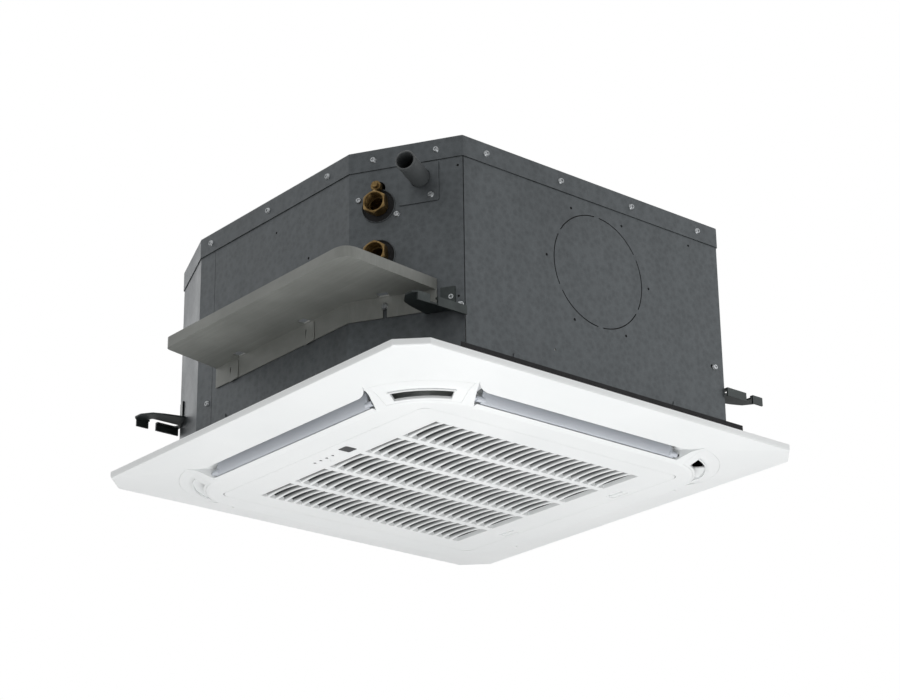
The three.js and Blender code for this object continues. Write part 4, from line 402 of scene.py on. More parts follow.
def finish_cad_nodes():
    """Gives each node of the frame the finish of its slot."""
    for part in frame["record"]["subparts"]:
        node = frame["nodes"][part["node"]]
        node.data.materials.clear()
        node.data.materials.append(FINISHES[part["material_slot"]])


finish_cad_nodes()

# ---------------------------------------------------------------- shape helpers

ROUND_STEPS = 10                 # points on a rounded corner
EDGE_STEPS = 4                   # points across a softened edge
BEVEL_ANGLE = 50                 # edges sharper than this are softened, in degrees
OVERRUN = 1                      # how far a cutter runs past a face
SWAP_YZ = Matrix(((1, 0, 0, 0), (0, 0, 1, 0), (0, 1, 0, 0), (0, 0, 0, 1)))


def shape(points, faces, place=None):
    """A closed scratch shape from points in millimetres, with its faces turned outwards."""
    if place is not None:
        points = [place @ Vector(point) for point in points]
    mesh = bpy.data.meshes.new("shape")
    mesh.from_pydata([Vector(point) * MM for point in points], [], faces)
    work = bmesh.new()
    work.from_mesh(mesh)
    bmesh.ops.remove_doubles(work, verts=work.verts, dist=1e-6)
    bmesh.ops.recalc_face_normals(work, faces=work.faces)
    work.to_mesh(mesh)
    work.free()
    item = bpy.data.objects.new("shape", mesh)
    bpy.context.scene.collection.objects.link(item)
    return item


def loft(rings, place=None):
    """A closed skin over rings of equally many points."""
    count = len(rings[0])
    faces = [tuple(range(count))]
    for level in range(len(rings) - 1):
        for i in range(count):
            a = level * count + i
            b = level * count + (i + 1) % count
            faces.append((a, b, b + count, a + count))
    top = (len(rings) - 1) * count
    faces.append(tuple(range(top, top + count)))
    return shape([point for ring in rings for point in ring], faces, place)


def at_height(outline, z):
    return [(x, y, z) for x, y in outline]


def prism(outline, z0, z1, place=None):
    return loft([at_height(outline, z0), at_height(outline, z1)], place)


def block(x0, x1, y0, y1, z0, z1, place=None):
    return prism([(x0, y0), (x1, y0), (x1, y1), (x0, y1)], z0, z1, place)


def circle(radius, sides=48, x=0.0, y=0.0, start=0.0):
    turns = [start + 2 * math.pi * i / sides for i in range(sides)]
    return [(x + radius * math.cos(turn), y + radius * math.sin(turn)) for turn in turns]


def disc(x, y, radius, z0, z1, place=None, sides=48):
    return prism(circle(radius, sides, x, y), z0, z1, place)


def turned(profile, sides=64, place=None):
    """A body of revolution about Z from a closed profile of (radius, height) points."""
    count = len(profile)
    points = []
    faces = []
    for i in range(sides):
        turn = 2 * math.pi * i / sides
        points += [(radius * math.cos(turn), radius * math.sin(turn), height) for radius, height in profile]
        for j in range(count):
            a = i * count
            b = (i + 1) % sides * count
            k = (j + 1) % count
            faces.append((a + j, b + j, b + k, a + k))
    return shape(points, faces, place)


def tube(path, radius, sides=20, place=None):
    """A round rod along a path."""
    path = [Vector(point) for point in path]
    steps = [(b - a).normalized() for a, b in zip(path, path[1:])]
    across = steps[0].orthogonal().normalized()
    rings = []
    for i, point in enumerate(path):
        ahead = (steps[max(i - 1, 0)] + steps[min(i, len(steps) - 1)]).normalized()
        across = (across - ahead * across.dot(ahead)).normalized()
        side = ahead.cross(across)
        turns = [2 * math.pi * k / sides for k in range(sides)]
        rings.append([point + radius * (math.cos(t) * across + math.sin(t) * side) for t in turns])
    return loft(rings, place)


def bezier(a, b, c, d, steps):
    """Points on a cubic curve."""
    a, b, c, d = (Vector(point) for point in (a, b, c, d))
    curve = []
    for i in range(steps + 1):
        t = i / steps
        s = 1 - t
        curve.append(s ** 3 * a + 3 * s * s * t * b + 3 * s * t * t * c + t ** 3 * d)
    return curve


def bend(a, b, c, steps):
    """Points on a quadratic curve from a to c, drawn towards b."""
    a, b, c = (Vector(point) for point in (a, b, c))
    shares = [i / steps for i in range(steps + 1)]
    return [(1 - t) ** 2 * a + 2 * t * (1 - t) * b + t * t * c for t in shares]


def rounded_square(half, radius, steps=ROUND_STEPS):
    outline = []
    for quarter in range(4):
        sx = 1 if quarter in (0, 3) else -1
        sy = 1 if quarter < 2 else -1
        for i in range(steps + 1):
            turn = (quarter + i / steps) * math.pi / 2
            outline.append((sx * (half - radius) + radius * math.cos(turn),
                            sy * (half - radius) + radius * math.sin(turn)))
    return outline


def rounded(points, radii, steps=6):
    """Rounds the corners of an outline that have a radius."""
    outline = []
    for i, (point, radius) in enumerate(zip(points, radii)):
        corner = Vector(point)
        if radius == 0:
            outline.append(tuple(corner))
            continue
        back = (Vector(points[i - 1]) - corner).normalized()
        ahead = (Vector(points[(i + 1) % len(points)]) - corner).normalized()
        reach = radius / math.tan(back.angle(ahead) / 2)
        outline += [tuple(p) for p in bend(corner + back * reach, corner, corner + ahead * reach, steps)]
    return outline


def edge_normal(a, b):
    length = math.hypot(b[0] - a[0], b[1] - a[1])
    return (b[1] - a[1]) / length, (a[0] - b[0]) / length


def inset(points, distance, closed=True):
    """Offsets an anticlockwise outline inwards; an open one keeps square ends."""
    moved = []
    last = len(points) - 1
    for i, point in enumerate(points):
        before, after = points[i - 1], points[(i + 1) % len(points)]
        first = edge_normal(before, point) if closed or i > 0 else edge_normal(point, after)
        second = edge_normal(point, after) if closed or i < last else first
        scale = distance / (1 + first[0] * second[0] + first[1] * second[1])
        moved.append((point[0] - scale * (first[0] + second[0]), point[1] - scale * (first[1] + second[1])))
    return moved


def soften(rings, reach):
    """Rounds the edge along each inner ring of a loft."""
    soft = [rings[0]]
    for before, ring, after in zip(rings, rings[1:], rings[2:]):
        curves = []
        for a, b, c in zip(before, ring, after):
            a, b, c = Vector(a), Vector(b), Vector(c)
            start = b + (a - b) * min(0.45, reach / max((a - b).length, 1e-6))
            end = b + (c - b) * min(0.45, reach / max((c - b).length, 1e-6))
            curves.append(bend(start, b, end, EDGE_STEPS))
        soft += [[curve[i] for curve in curves] for i in range(EDGE_STEPS + 1)]
    return soft + [rings[-1]]


def wall(start, end):
    """Local axes of an upright wall: X along it, Y up and Z outwards."""
    along = Vector((end[0] - start[0], end[1] - start[1], 0)).normalized()
    outward = along.cross(UP)
    place = Matrix((along, UP, outward)).transposed().to_4x4()
    place.translation = (start[0], start[1], 0)
    return place


def move(x, y, z):
    return Matrix.Translation((x, y, z))


def turn_about(axis, degrees):
    return Matrix.Rotation(math.radians(degrees), 4, axis)


def settle(item):
    """Turns the modifiers of a shape into plain mesh."""
    bpy.context.view_layer.update()
    graph = bpy.context.evaluated_depsgraph_get()
    mesh = bpy.data.meshes.new_from_object(item.evaluated_get(graph))
    item.modifiers.clear()
    old = item.data
    item.data = mesh
    bpy.data.meshes.remove(old)
    return item


def combine(operation, item, *others):
    for other in others:
        step = item.modifiers.new("step", "BOOLEAN")
        step.operation = operation
        step.solver = "MANIFOLD"
        step.object = other
    settle(item)
    for other in others:
        bpy.data.meshes.remove(other.data)
    return item


def cut(item, *others):
    return combine("DIFFERENCE", item, *others)


def hollow(outer, inner, z0, z1):
    """An upright wall between two outlines."""
    return cut(prism(outer, z0, z1), prism(inner, z0 - OVERRUN, z1 + OVERRUN))


def join(item, *others):
    return combine("UNION", item, *others)


def keep(item, *others):
    return combine("INTERSECT", item, *others)


def piece(item, name, slot, replaces=(), body="unit", crease=30, rounding=0.0, finish=None):
    """Names a shape, gives it its finish and softened edges, and lets it ride on a body."""
    item.name = name
    item.data.name = name
    item.data.materials.clear()
    item.data.materials.append(FINISHES[finish or slot])
    item.data.shade_smooth()
    item.data.set_sharp_from_angle(angle=math.radians(crease))
    if rounding:
        edges = item.modifiers.new("soft_edges", "BEVEL")
        edges.width = rounding * MM
        edges.segments = 2
        edges.limit_method = "ANGLE"
        edges.angle_limit = math.radians(BEVEL_ANGLE)
        edges.harden_normals = True
    shading = item.modifiers.new("even_shading", "WEIGHTED_NORMAL")
    shading.keep_sharp = True
    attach(item, body)
    if replaces:
        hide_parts(*replaces)
    return item


# ---------------------------------------------------------------- repeats

def repeat_tree(name, sizes):
    """An empty node tree with a geometry input, named size inputs and a finish."""
    tree = bpy.data.node_groups.new(name, "GeometryNodeTree")
    tree.interface.new_socket("Geometry", in_out="INPUT", socket_type="NodeSocketGeometry")
    for size, value in sizes.items():
        kind = "NodeSocketInt" if isinstance(value, int) else "NodeSocketFloat"
        tree.interface.new_socket(size, in_out="INPUT", socket_type=kind)
    tree.interface.new_socket("Finish", in_out="INPUT", socket_type="NodeSocketMaterial")
    tree.interface.new_socket("Geometry", in_out="OUTPUT", socket_type="NodeSocketGeometry")
    return tree, tree.nodes.new("NodeGroupInput").outputs


def end_tree(tree, given, instances):
    """Ends a tree in real, finished mesh."""
    real = add_node(tree, "GeometryNodeRealizeInstances", Geometry=instances)
    finished = add_node(tree, "GeometryNodeSetMaterial", Geometry=real.outputs[0], Material=given["Finish"])
    output = tree.nodes.new("NodeGroupOutput")
    tree.links.new(finished.outputs[0], output.inputs[0])


def grown(item, tree, sizes, finish):
    """Runs a tree on a shape with its sizes set, and keeps the result as plain mesh."""
    modifier = item.modifiers.new("repeat", "NODES")
    modifier.node_group = tree
    values = {**sizes, "Finish": FINISHES[finish]}
    for socket in tree.interface.items_tree:
        if socket.in_out == "INPUT" and socket.name in values:
            modifier[socket.identifier] = values[socket.name]
    return settle(item)


def in_rows(item, columns, rows, column_pitch, row_pitch, finish):
    """Copies of a shape on a flat grid about the origin."""
    sizes = {"Columns": columns, "Rows": rows, "Column Pitch": column_pitch * MM, "Row Pitch": row_pitch * MM}
    tree, given = repeat_tree("rows", sizes)
    spans = []
    for count, pitch in (("Columns", "Column Pitch"), ("Rows", "Row Pitch")):
        gaps = add_math(tree, "SUBTRACT", given[count], 1)
        spans.append(add_math(tree, "MULTIPLY", gaps, given[pitch]))
    grid = add_node(tree, "GeometryNodeMeshGrid", Size_X=spans[0], Size_Y=spans[1],
                    Vertices_X=given["Columns"], Vertices_Y=given["Rows"])
    copies = add_node(tree, "GeometryNodeInstanceOnPoints", Points=grid.outputs[0],
                      Instance=given["Geometry"])
    end_tree(tree, given, copies.outputs[0])
    return grown(item, tree, sizes, finish)


def in_ring(item, count, finish):
    """Copies of a shape turned about the Z axis."""
    sizes = {"Count": count}
    tree, given = repeat_tree("ring", sizes)
    line = add_node(tree, "GeometryNodeMeshLine", Count=given["Count"], Offset=(0, 0, 0))
    index = tree.nodes.new("GeometryNodeInputIndex")
    share = add_math(tree, "DIVIDE", index.outputs[0], given["Count"])
    turn = add_node(tree, "ShaderNodeCombineXYZ", Z=add_math(tree, "MULTIPLY", share, 2 * math.pi))
    copies = add_node(tree, "GeometryNodeInstanceOnPoints", Points=line.outputs[0],
                      Instance=given["Geometry"], Rotation=turn.outputs[0])
    end_tree(tree, given, copies.outputs[0])
    return grown(item, tree, sizes, finish)


def on_points(tree, given, instance, seed):
    """Copies of a geometry on the input's points, each facing outwards and turned at random."""
    outward = add_node(tree, "GeometryNodeInputNamedAttribute", {"data_type": "FLOAT_VECTOR"}, Name="outward")
    aligned = add_node(tree, "FunctionNodeAlignRotationToVector", {"axis": "Z"}, Vector=outward.outputs[0])
    chance = add_node(tree, "FunctionNodeRandomValue", {"data_type": "FLOAT"}, Seed=seed)
    spin = add_node(tree, "ShaderNodeCombineXYZ", Z=add_math(tree, "MULTIPLY", chance.outputs[1], math.pi))
    turn = add_node(tree, "FunctionNodeRotateRotation", {"rotation_space": "LOCAL"},
                    Rotation=aligned.outputs[0], Rotate_By=spin.outputs[0])
    return add_node(tree, "GeometryNodeInstanceOnPoints", Points=given["Geometry"], Instance=instance,
                    Rotation=turn.outputs[0]).outputs[0]


SCREW_RADIUS = 4.2
SCREW_HEIGHT = 2.2
SCREW_SIDES = 20
SCREW_CROWN = 0.72               # shares of the head's radius
SCREW_RECESS_WIDTH = 0.3
SCREW_RECESS_LENGTH = 1.05
SCREW_SEED = 7
SCREW_DROP = 14                  # below the top of the casing


def screw_tree(sizes):
    """A pan-head screw with a cross recess on every point."""
    tree, given = repeat_tree("screws", sizes)
    top = add_math(tree, "MULTIPLY", given["Head Radius"], SCREW_CROWN)
    head = add_node(tree, "GeometryNodeMeshCone", Vertices=SCREW_SIDES, Radius_Top=top,
                    Radius_Bottom=given["Head Radius"], Depth=given["Head Height"])
    reach = add_math(tree, "MULTIPLY", given["Head Radius"], SCREW_RECESS_LENGTH)
    cross = tree.nodes.new("GeometryNodeMeshBoolean")
    cross.operation = "DIFFERENCE"
    cross.solver = "EXACT"
    tree.links.new(head.outputs[0], cross.inputs[0])
    for along, over in ((reach, given["Recess"]), (given["Recess"], reach)):
        size = add_node(tree, "ShaderNodeCombineXYZ", X=along, Y=over, Z=given["Head Height"])
        bar = add_node(tree, "GeometryNodeMeshCube", Size=size.outputs[0])
        lift = add_node(tree, "ShaderNodeCombineXYZ", Z=given["Head Height"])
        moved = add_node(tree, "GeometryNodeTransform", Geometry=bar.outputs[0], Translation=lift.outputs[0])
        tree.links.new(moved.outputs[0], cross.inputs[1])
    end_tree(tree, given, on_points(tree, given, cross.outputs[0], SCREW_SEED))
    return tree


def spots(places):
    """A scratch mesh of loose points that know which way they face."""
    mesh = bpy.data.meshes.new("spots")
    mesh.from_pydata([Vector(place) * MM for place, _ in places], [], [])
    outward = mesh.attributes.new("outward", "FLOAT_VECTOR", "POINT")
    for value, (_, direction) in zip(outward.data, places):
        value.vector = direction
    item = bpy.data.objects.new("spots", mesh)
    bpy.context.scene.collection.objects.link(item)
    return item


def add_screws(name, places):
    """Screws at (place, direction) pairs, their heads seated on the surface there."""
    sizes = {"Head Radius": SCREW_RADIUS * MM, "Head Height": SCREW_HEIGHT * MM,
             "Recess": SCREW_RADIUS * SCREW_RECESS_WIDTH * MM}
    item = grown(spots(places), screw_tree(sizes), sizes, "plain_steel")
    piece(item, name, "plain_steel", crease=40)


# ---------------------------------------------------------------- steel casing

BODY_HALF = 276
BODY_TOP = 301.2
SHEET = 1
SHEET_BOTTOM = 28.5
PIPE_SHEET_BOTTOM = 20           # the seal is squeezed lower under the pipe side
SEAL_CORNER = 30
FLANGE_HEIGHT = 27.5             # down-turned edge of the top cover
CORNER_CUT_X = 43                # plain corner facets
CORNER_CUT_Y = 105
PIPE_CUT_X = 74                  # the larger pipe facet
PIPE_CUT_Y = 126
SEAL_OUT = 8
SEAM_Y = BODY_HALF - 139         # joint of two side sheets on the -X face
REAR_SEAM_Y = 60
SEAM_GAP = 0.6
GAP = 0.3                        # between pieces that touch
RUNNING_GAP = 0.35               # round a pin
FOLD_RADIUS = 2                  # of a bend in sheet
COVER_STEP = 12                  # between points along the edge of the top
COVER_CORNER = 3
COVER_MARGIN = 2.5               # less than the radius of the corners
BEAD_RADIUS = 150                # pressed ring in the top
BEAD_DEPTH = 3
BEAD_WIDTH = 20
BEAD_STEPS = 12

KNOCKOUT_X = 17
KNOCKOUT_Z = BODY_TOP - 120.5
KNOCKOUT_RADIUS = 75
KNOCKOUT_SLIT = 1.4
KNOCKOUT_BRIDGES = 6
KNOCKOUT_BRIDGE_ANGLE = 6        # degrees
TAP_HOLE_RING = KNOCKOUT_RADIUS + 11.5
TAP_HOLE_RADIUS = 1.8

PIPE_S = 38                      # places along the pipe facet from its -X end
PIPE_HIGH_Z = BODY_TOP - 76.5
PIPE_LOW_Z = PIPE_HIGH_Z - 66
PIPE_HOLE = 22
VENT_Z = PIPE_HIGH_Z + 23.7
VENT_HOLE = 9
DRAIN_S = 92
DRAIN_Z = BODY_TOP - 47.8
DRAIN_RADIUS = 12.5
DRAIN_HOLE = 16
COVER_PLATE = 52
COVER_PLATE_CORNER = 2.5
COVER_PLATE_S = DRAIN_S - 2
COVER_PLATE_Z = DRAIN_Z - 7.4
COLLAR_ROLL = 0.75               # rolled edge of a pipe hole
COLLAR_INSET = 0.9
COLLAR_OUT = 0.35
WATER_LEVELS = (("upper", PIPE_HIGH_Z), ("lower", PIPE_LOW_Z))

BODY = [(-BODY_HALF, BODY_HALF - CORNER_CUT_Y), (-BODY_HALF, PIPE_CUT_Y - BODY_HALF),
        (PIPE_CUT_X - BODY_HALF, -BODY_HALF), (BODY_HALF - CORNER_CUT_X, -BODY_HALF),
        (BODY_HALF, CORNER_CUT_Y - BODY_HALF), (BODY_HALF, BODY_HALF - CORNER_CUT_Y),
        (BODY_HALF - CORNER_CUT_X, BODY_HALF), (CORNER_CUT_X - BODY_HALF, BODY_HALF)]
PIPE_FACET = math.hypot(PIPE_CUT_X, PIPE_CUT_Y)
LEFT_WALL = wall(BODY[0], BODY[1])
PIPE_WALL = wall(BODY[1], BODY[2])
RIGHT_WALL = wall((0, -BODY_HALF), BODY[3])
REAR_WALL = wall((BODY_HALF, 0), (BODY_HALF, 1))
FAR_WALL = wall((0, BODY_HALF), (-1, BODY_HALF))
LIP_TABS = (("right_1", RIGHT_WALL, -120), ("right_2", RIGHT_WALL, 145), ("left_1", LEFT_WALL, 60))
LIP_TAB_HALF = 9
LIP_TAB_HEIGHT = 9
LIP_TAB_TAPER = 2
LIP_TAB_LIFT = 0.1


def on_pipe_wall(s, z):
    return PIPE_WALL @ move(s, z, 0)


def arc_band(inner, outer, start, end, steps=24):
    """A band of a ring between two angles in degrees."""
    turns = [math.radians(start + (end - start) * i / steps) for i in range(steps + 1)]
    outline = [(outer * math.cos(turn), outer * math.sin(turn)) for turn in turns]
    return outline + [(inner * math.cos(turn), inner * math.sin(turn)) for turn in reversed(turns)]


def cut_square(half, corner):
    return [(half, corner - half), (half, half - corner), (half - corner, half), (corner - half, half),
            (-half, half - corner), (-half, corner - half), (corner - half, -half), (half - corner, -half)]


def folded_sheet(line, bottom=SHEET_BOTTOM):
    """An upright sheet whose outer face follows a line in plan, with small bends."""
    curved = rounded(line, [0] + [FOLD_RADIUS] * (len(line) - 2) + [0])
    back = inset(curved, SHEET, closed=False)
    return prism(curved + back[::-1], bottom, BODY_TOP - SHEET - GAP)


def through_holes(place, spots_and_radii, reach=SHEET + OVERRUN):
    return [disc(x, y, radius, -reach, OVERRUN, place, 32) for x, y, radius in spots_and_radii]


def knockout_cuts():
    """Slit round the knock-out disc with its bridges, and the small holes outside it."""
    place = RIGHT_WALL @ move(KNOCKOUT_X, KNOCKOUT_Z, 0)
    step = 360 / KNOCKOUT_BRIDGES
    cuts = []
    for i in range(KNOCKOUT_BRIDGES):
        start = step * (i - 0.5) + KNOCKOUT_BRIDGE_ANGLE / 2
        slit = arc_band(KNOCKOUT_RADIUS - KNOCKOUT_SLIT, KNOCKOUT_RADIUS, start,
                        start + step - KNOCKOUT_BRIDGE_ANGLE)
        cuts.append(prism(slit, -SHEET - OVERRUN, OVERRUN, place))
        turn = math.radians(step * i)
        hole = (TAP_HOLE_RING * math.cos(turn), TAP_HOLE_RING * math.sin(turn), TAP_HOLE_RADIUS)
        cuts += through_holes(place, [hole])
    return cuts


def right_side_panel():
    start = (BODY[2][0] + SHEET + SEAM_GAP, -BODY_HALF)
    sheet = folded_sheet([start, BODY[3], BODY[4], (BODY_HALF, REAR_SEAM_Y - SEAM_GAP)])
    small = [(-203, 270, 2), (-212, 235, 1.6), (180, 262, 1.6), (212, 102, 2.5), (-60, 58, 1.5)]
    panel = cut(sheet, *knockout_cuts(), *through_holes(RIGHT_WALL, small))
    piece(panel, "side_panel_right_sheet", "casing_steel", ["side_panel_right"])


def rear_side_panel():
    line = [(BODY_HALF, REAR_SEAM_Y), *BODY[5:], BODY[0], (-BODY_HALF, SEAM_Y + SEAM_GAP)]
    small = [(-120, 270, 2), (60, 200, 1.6), (150, 270, 2)]
    panel = cut(folded_sheet(line), *through_holes(FAR_WALL, small))
    piece(panel, "side_panel_rear_sheet", "casing_steel", ["side_panel_rear"])


def pipe_side_panel():
    """Sheet of the -X face and the pipe facet, with a rolled collar round each pipe hole."""
    holes = [(PIPE_S, PIPE_HIGH_Z, PIPE_HOLE), (PIPE_S, VENT_Z, VENT_HOLE), (PIPE_S, PIPE_LOW_Z, PIPE_HOLE),
             (DRAIN_S, DRAIN_Z, DRAIN_HOLE), (140, 262, 1.6), (92.5, 271, 1.5), (139, 92, 1.6)]
    sheet = folded_sheet([(-BODY_HALF, SEAM_Y), BODY[1], BODY[2]], PIPE_SHEET_BOTTOM)
    small = [(239, 191, 1.8), (170, 250, 1.5), (58, 130, 1.5)]
    panel = cut(sheet, *through_holes(PIPE_WALL, holes), *through_holes(LEFT_WALL, small))
    piece(panel, "side_panel_pipe_sheet", "casing_steel", ["side_panel_pipe"])
    for level, z in WATER_LEVELS:
        roll = circle(COLLAR_ROLL, 10, PIPE_HOLE - COLLAR_INSET, COLLAR_OUT)
        piece(turned(roll, 64, on_pipe_wall(PIPE_S, z)), f"pipe_hole_collar_{level}", "casing_steel")


def divided(points, step):
    """An outline with its long edges split into equal parts."""
    fine = []
    for a, b in zip(points, points[1:] + points[:1]):
        parts = max(1, round(math.dist(a, b) / step))
        fine += [(a[0] + (b[0] - a[0]) * i / parts, a[1] + (b[1] - a[1]) * i / parts) for i in range(parts)]
    return fine


def on_circle(point, radius):
    """The point of a circle that lies in the direction of another point."""
    length = math.hypot(*point)
    return point[0] * radius / length, point[1] * radius / length


def cover_form(outline, bottom, top):
    """Closed form with a softly folded edge and a pressed ring in its flat top."""
    outline = divided(outline, COVER_STEP)
    flat = inset(outline, COVER_MARGIN)
    rings = soften([at_height(outline, bottom), at_height(outline, top), at_height(flat, top)], FOLD_RADIUS)
    for i in range(BEAD_STEPS + 1):
        share = 2 * i / BEAD_STEPS - 1
        radius = BEAD_RADIUS - share * BEAD_WIDTH / 2
        depth = BEAD_DEPTH * (0.5 + 0.5 * math.cos(math.pi * share))
        rings.append(at_height([on_circle(point, radius) for point in flat], top - depth))
    return loft(rings)


def top_cover():
    """Thin cover with a down-turned edge."""
    corners = [COVER_CORNER] * len(BODY)
    low = BODY_TOP - FLANGE_HEIGHT
    outer = cover_form(rounded(inset(BODY, -SHEET - GAP), corners), low, BODY_TOP)
    inner = cover_form(rounded(inset(BODY, -GAP), corners), low - OVERRUN, BODY_TOP - SHEET)
    piece(cut(outer, inner), "top_cover_sheet", "casing_steel", ["top_cover"])


def drain_cover_plate():
    half = COVER_PLATE / 2
    outline = [(x + COVER_PLATE_S, y + COVER_PLATE_Z) for x, y in rounded_square(half, COVER_PLATE_CORNER, 6)]
    plate = cut(prism(outline, GAP, GAP + SHEET, PIPE_WALL),
                disc(DRAIN_S, DRAIN_Z, DRAIN_RADIUS + GAP, -OVERRUN, SHEET + OVERRUN, PIPE_WALL, 64))
    piece(plate, "drain_cover_sheet", "casing_steel", ["drain_cover_plate"], rounding=0.3)


def seal_strip():
    """Compressible seal between the foot of the casing and the fascia."""
    beyond = BODY_HALF + 2 * SEAL_CORNER
    ring = hollow(cut_square(BODY_HALF + SEAL_OUT, SEAL_CORNER), inset(BODY, SHEET), GAP, SHEET_BOTTOM - GAP)
    pipe_side = block(-beyond, SHEET - BODY_HALF, -beyond, beyond, PIPE_SHEET_BOTTOM, SHEET_BOTTOM)
    facet = block(0, PIPE_FACET, PIPE_SHEET_BOTTOM, SHEET_BOTTOM, -SHEET, 2 * SEAL_CORNER, PIPE_WALL)
    piece(cut(ring, pipe_side, facet), "seal_strip", "black_foam", ["foam_seal"], rounding=0.8)


def lip_tabs():
    """Small folded tabs at the foot of the casing on its two front faces."""
    low = SHEET_BOTTOM
    high = low + LIP_TAB_HEIGHT
    narrow = LIP_TAB_HALF - LIP_TAB_TAPER
    for name, place, s in LIP_TABS:
        tab = rounded([(s - LIP_TAB_HALF, low), (s + LIP_TAB_HALF, low), (s + narrow, high),
                       (s - narrow, high)], [0, 0, 2, 2])
        tab = prism(tab, LIP_TAB_LIFT, LIP_TAB_LIFT + SHEET, place)
        piece(tab, f"lip_tab_{name}", "casing_steel", rounding=0.25)


right_side_panel()
rear_side_panel()
pipe_side_panel()
top_cover()
drain_cover_plate()
seal_strip()
lip_tabs()


# ---------------------------------------------------------------- hanging brackets

HANGER_Z = 74.7
HANGER_SHEET = 2.2
HANGER_LIP_Y = BODY_HALF + 5
HANGER_LIP_HEIGHT = 9
HANGER_TIP_X = BODY_HALF + 27
HANGER_DEPTH = 38
HANGER_FLANGE = 30
HANGER_FLANGE_INSET = 9
PIPE_HANGER_SHIFT = 22
HANGER_ROUNDING = 0.5
HANGER_SPREAD = 8                # of the shelf's foot along the facet
HANGER_BEVEL = 5
HANGER_SLOT_INSET = 19
HANGER_SLOT_LENGTH = 44
HANGER_SLOT_BACK = 16
HANGER_SLOT_FRONT = 5
HANGER_GATE_START = 4            # from the slot's end
HANGER_GATE_END = 16
HANGER_CUT = 12                  # below the shelf


def hanger(corner, sign_x, sign_y, cut_x=CORNER_CUT_X, cut_y=CORNER_CUT_Y, shift=0):
    """A shelf with a slot for the hanging rod, a down-turned lip and a flange on the casing."""
    def side(y):
        """How far out the facet lies at a distance along Y, with a gap."""
        return BODY_HALF - cut_x + (BODY_HALF - y) * cut_x / cut_y + GAP * math.hypot(1, cut_x / cut_y)

    def plate(z0, z1, points, radii=(0, 0, 0, 0)):
        return prism([(sign_x * x, sign_y * y) for x, y in rounded(points, radii)], z0, z1)

    tip = HANGER_TIP_X - shift
    lip = HANGER_LIP_Y
    face = lip - HANGER_SHEET
    back = lip - HANGER_DEPTH
    spread = back - HANGER_SPREAD
    front = tip - HANGER_BEVEL
    foot = side(BODY_HALF)
    high = HANGER_Z + HANGER_SHEET
    root = BODY_HALF - HANGER_FLANGE_INSET
    low = root - HANGER_FLANGE / 2
    shelf = plate(HANGER_Z, high,
                  [(foot, lip), (front, lip), (tip, lip - HANGER_BEVEL), (tip, lip - 18), (tip - 10, back + 6),
                   (tip - 24, back), (side(spread), spread), (foot, BODY_HALF)], [0, 1.5, 1.5, 4, 6, 8, 0, 0])
    edge = plate(HANGER_Z - HANGER_LIP_HEIGHT, high, [(foot, face), (foot, lip), (front, lip), (front, face)])
    flange = plate(HANGER_Z, HANGER_Z + HANGER_FLANGE,
                   [(side(root), root), (side(root) + HANGER_SHEET, root), (side(low) + HANGER_SHEET, low),
                    (side(low), low)])
    end = tip - HANGER_SLOT_INSET
    start = end - HANGER_SLOT_LENGTH
    rear = lip - HANGER_SLOT_BACK
    near = lip - HANGER_SLOT_FRONT
    slot = plate(HANGER_Z - HANGER_CUT, high + OVERRUN,
                 [(start, rear), (end, rear), (end, near), (start, near)], [4, 4, 3, 4])
    right = end - HANGER_GATE_START
    left = end - HANGER_GATE_END
    gate = plate(HANGER_Z - HANGER_CUT, high + OVERRUN,
                 [(right, near - OVERRUN), (right, lip + OVERRUN), (left, lip + OVERRUN),
                  (left, near - OVERRUN)])
    bracket = cut(join(shelf, edge, flange), slot, gate)
    piece(bracket, f"bracket_{corner}", "bracket_steel", [f"hanger_{corner}"], rounding=HANGER_ROUNDING)


hanger("right", 1, -1)
hanger("far", 1, 1)
hanger("left", -1, 1)
hanger("pipe_corner", -1, -1, PIPE_CUT_X, PIPE_CUT_Y, PIPE_HANGER_SHIFT)


# ---------------------------------------------------------------- water connections

UNION_OUT = 16
UNION_IN = 21
UNION_NUT_RADIUS = 15.8
UNION_NUT_LENGTH = 12
UNION_NECK_RADIUS = 12.2
UNION_BORE = UNION_NECK_RADIUS - 0.8
UNION_BORE_DEPTH = 13
UNION_WALL = 2
UNION_EDGE = 1
THREAD_TURNS = 7
THREAD_PITCH = 1.8
THREAD_DEPTH = 0.6
NUT_CHAMFER = 1.6
VENT_IN = 26
VENT_RADIUS = 4
VENT_CAP_RADIUS = 6.5
VENT_CAP_LOW = 2
VENT_CAP_HIGH = 10
VENT_TOP = 14
VENT_EDGE = 0.6
FLUTE_COUNT = 14
FLUTE_RADIUS = 0.9
FLUTE_OUT = 0.5
COCK_RADIUS = 4
COCK_LENGTH = 9
COCK_HEAD = 3
COCK_HEAD_RADIUS = 5.6
COCK_CHAMFER = 0.7
PIPE_RADIUS = 8


def chamfered_hexagon(radius, low, high, chamfer):
    """A hexagon nut whose corners are turned away at both ends."""
    inner = radius * math.cos(math.pi / 6)
    outer = radius + 0.1
    body = turned([(0, low), (inner, low), (outer, low + chamfer), (outer, high - chamfer), (inner, high),
                   (0, high)], 48)
    return keep(prism(circle(radius, 6, start=math.pi / 2), low - OVERRUN, high + OVERRUN), body)


def placed(item, place):
    """Moves a shape made about the origin to its place, in millimetres."""
    moved = place.copy()
    moved.translation *= MM
    item.data.transform(moved)
    return item


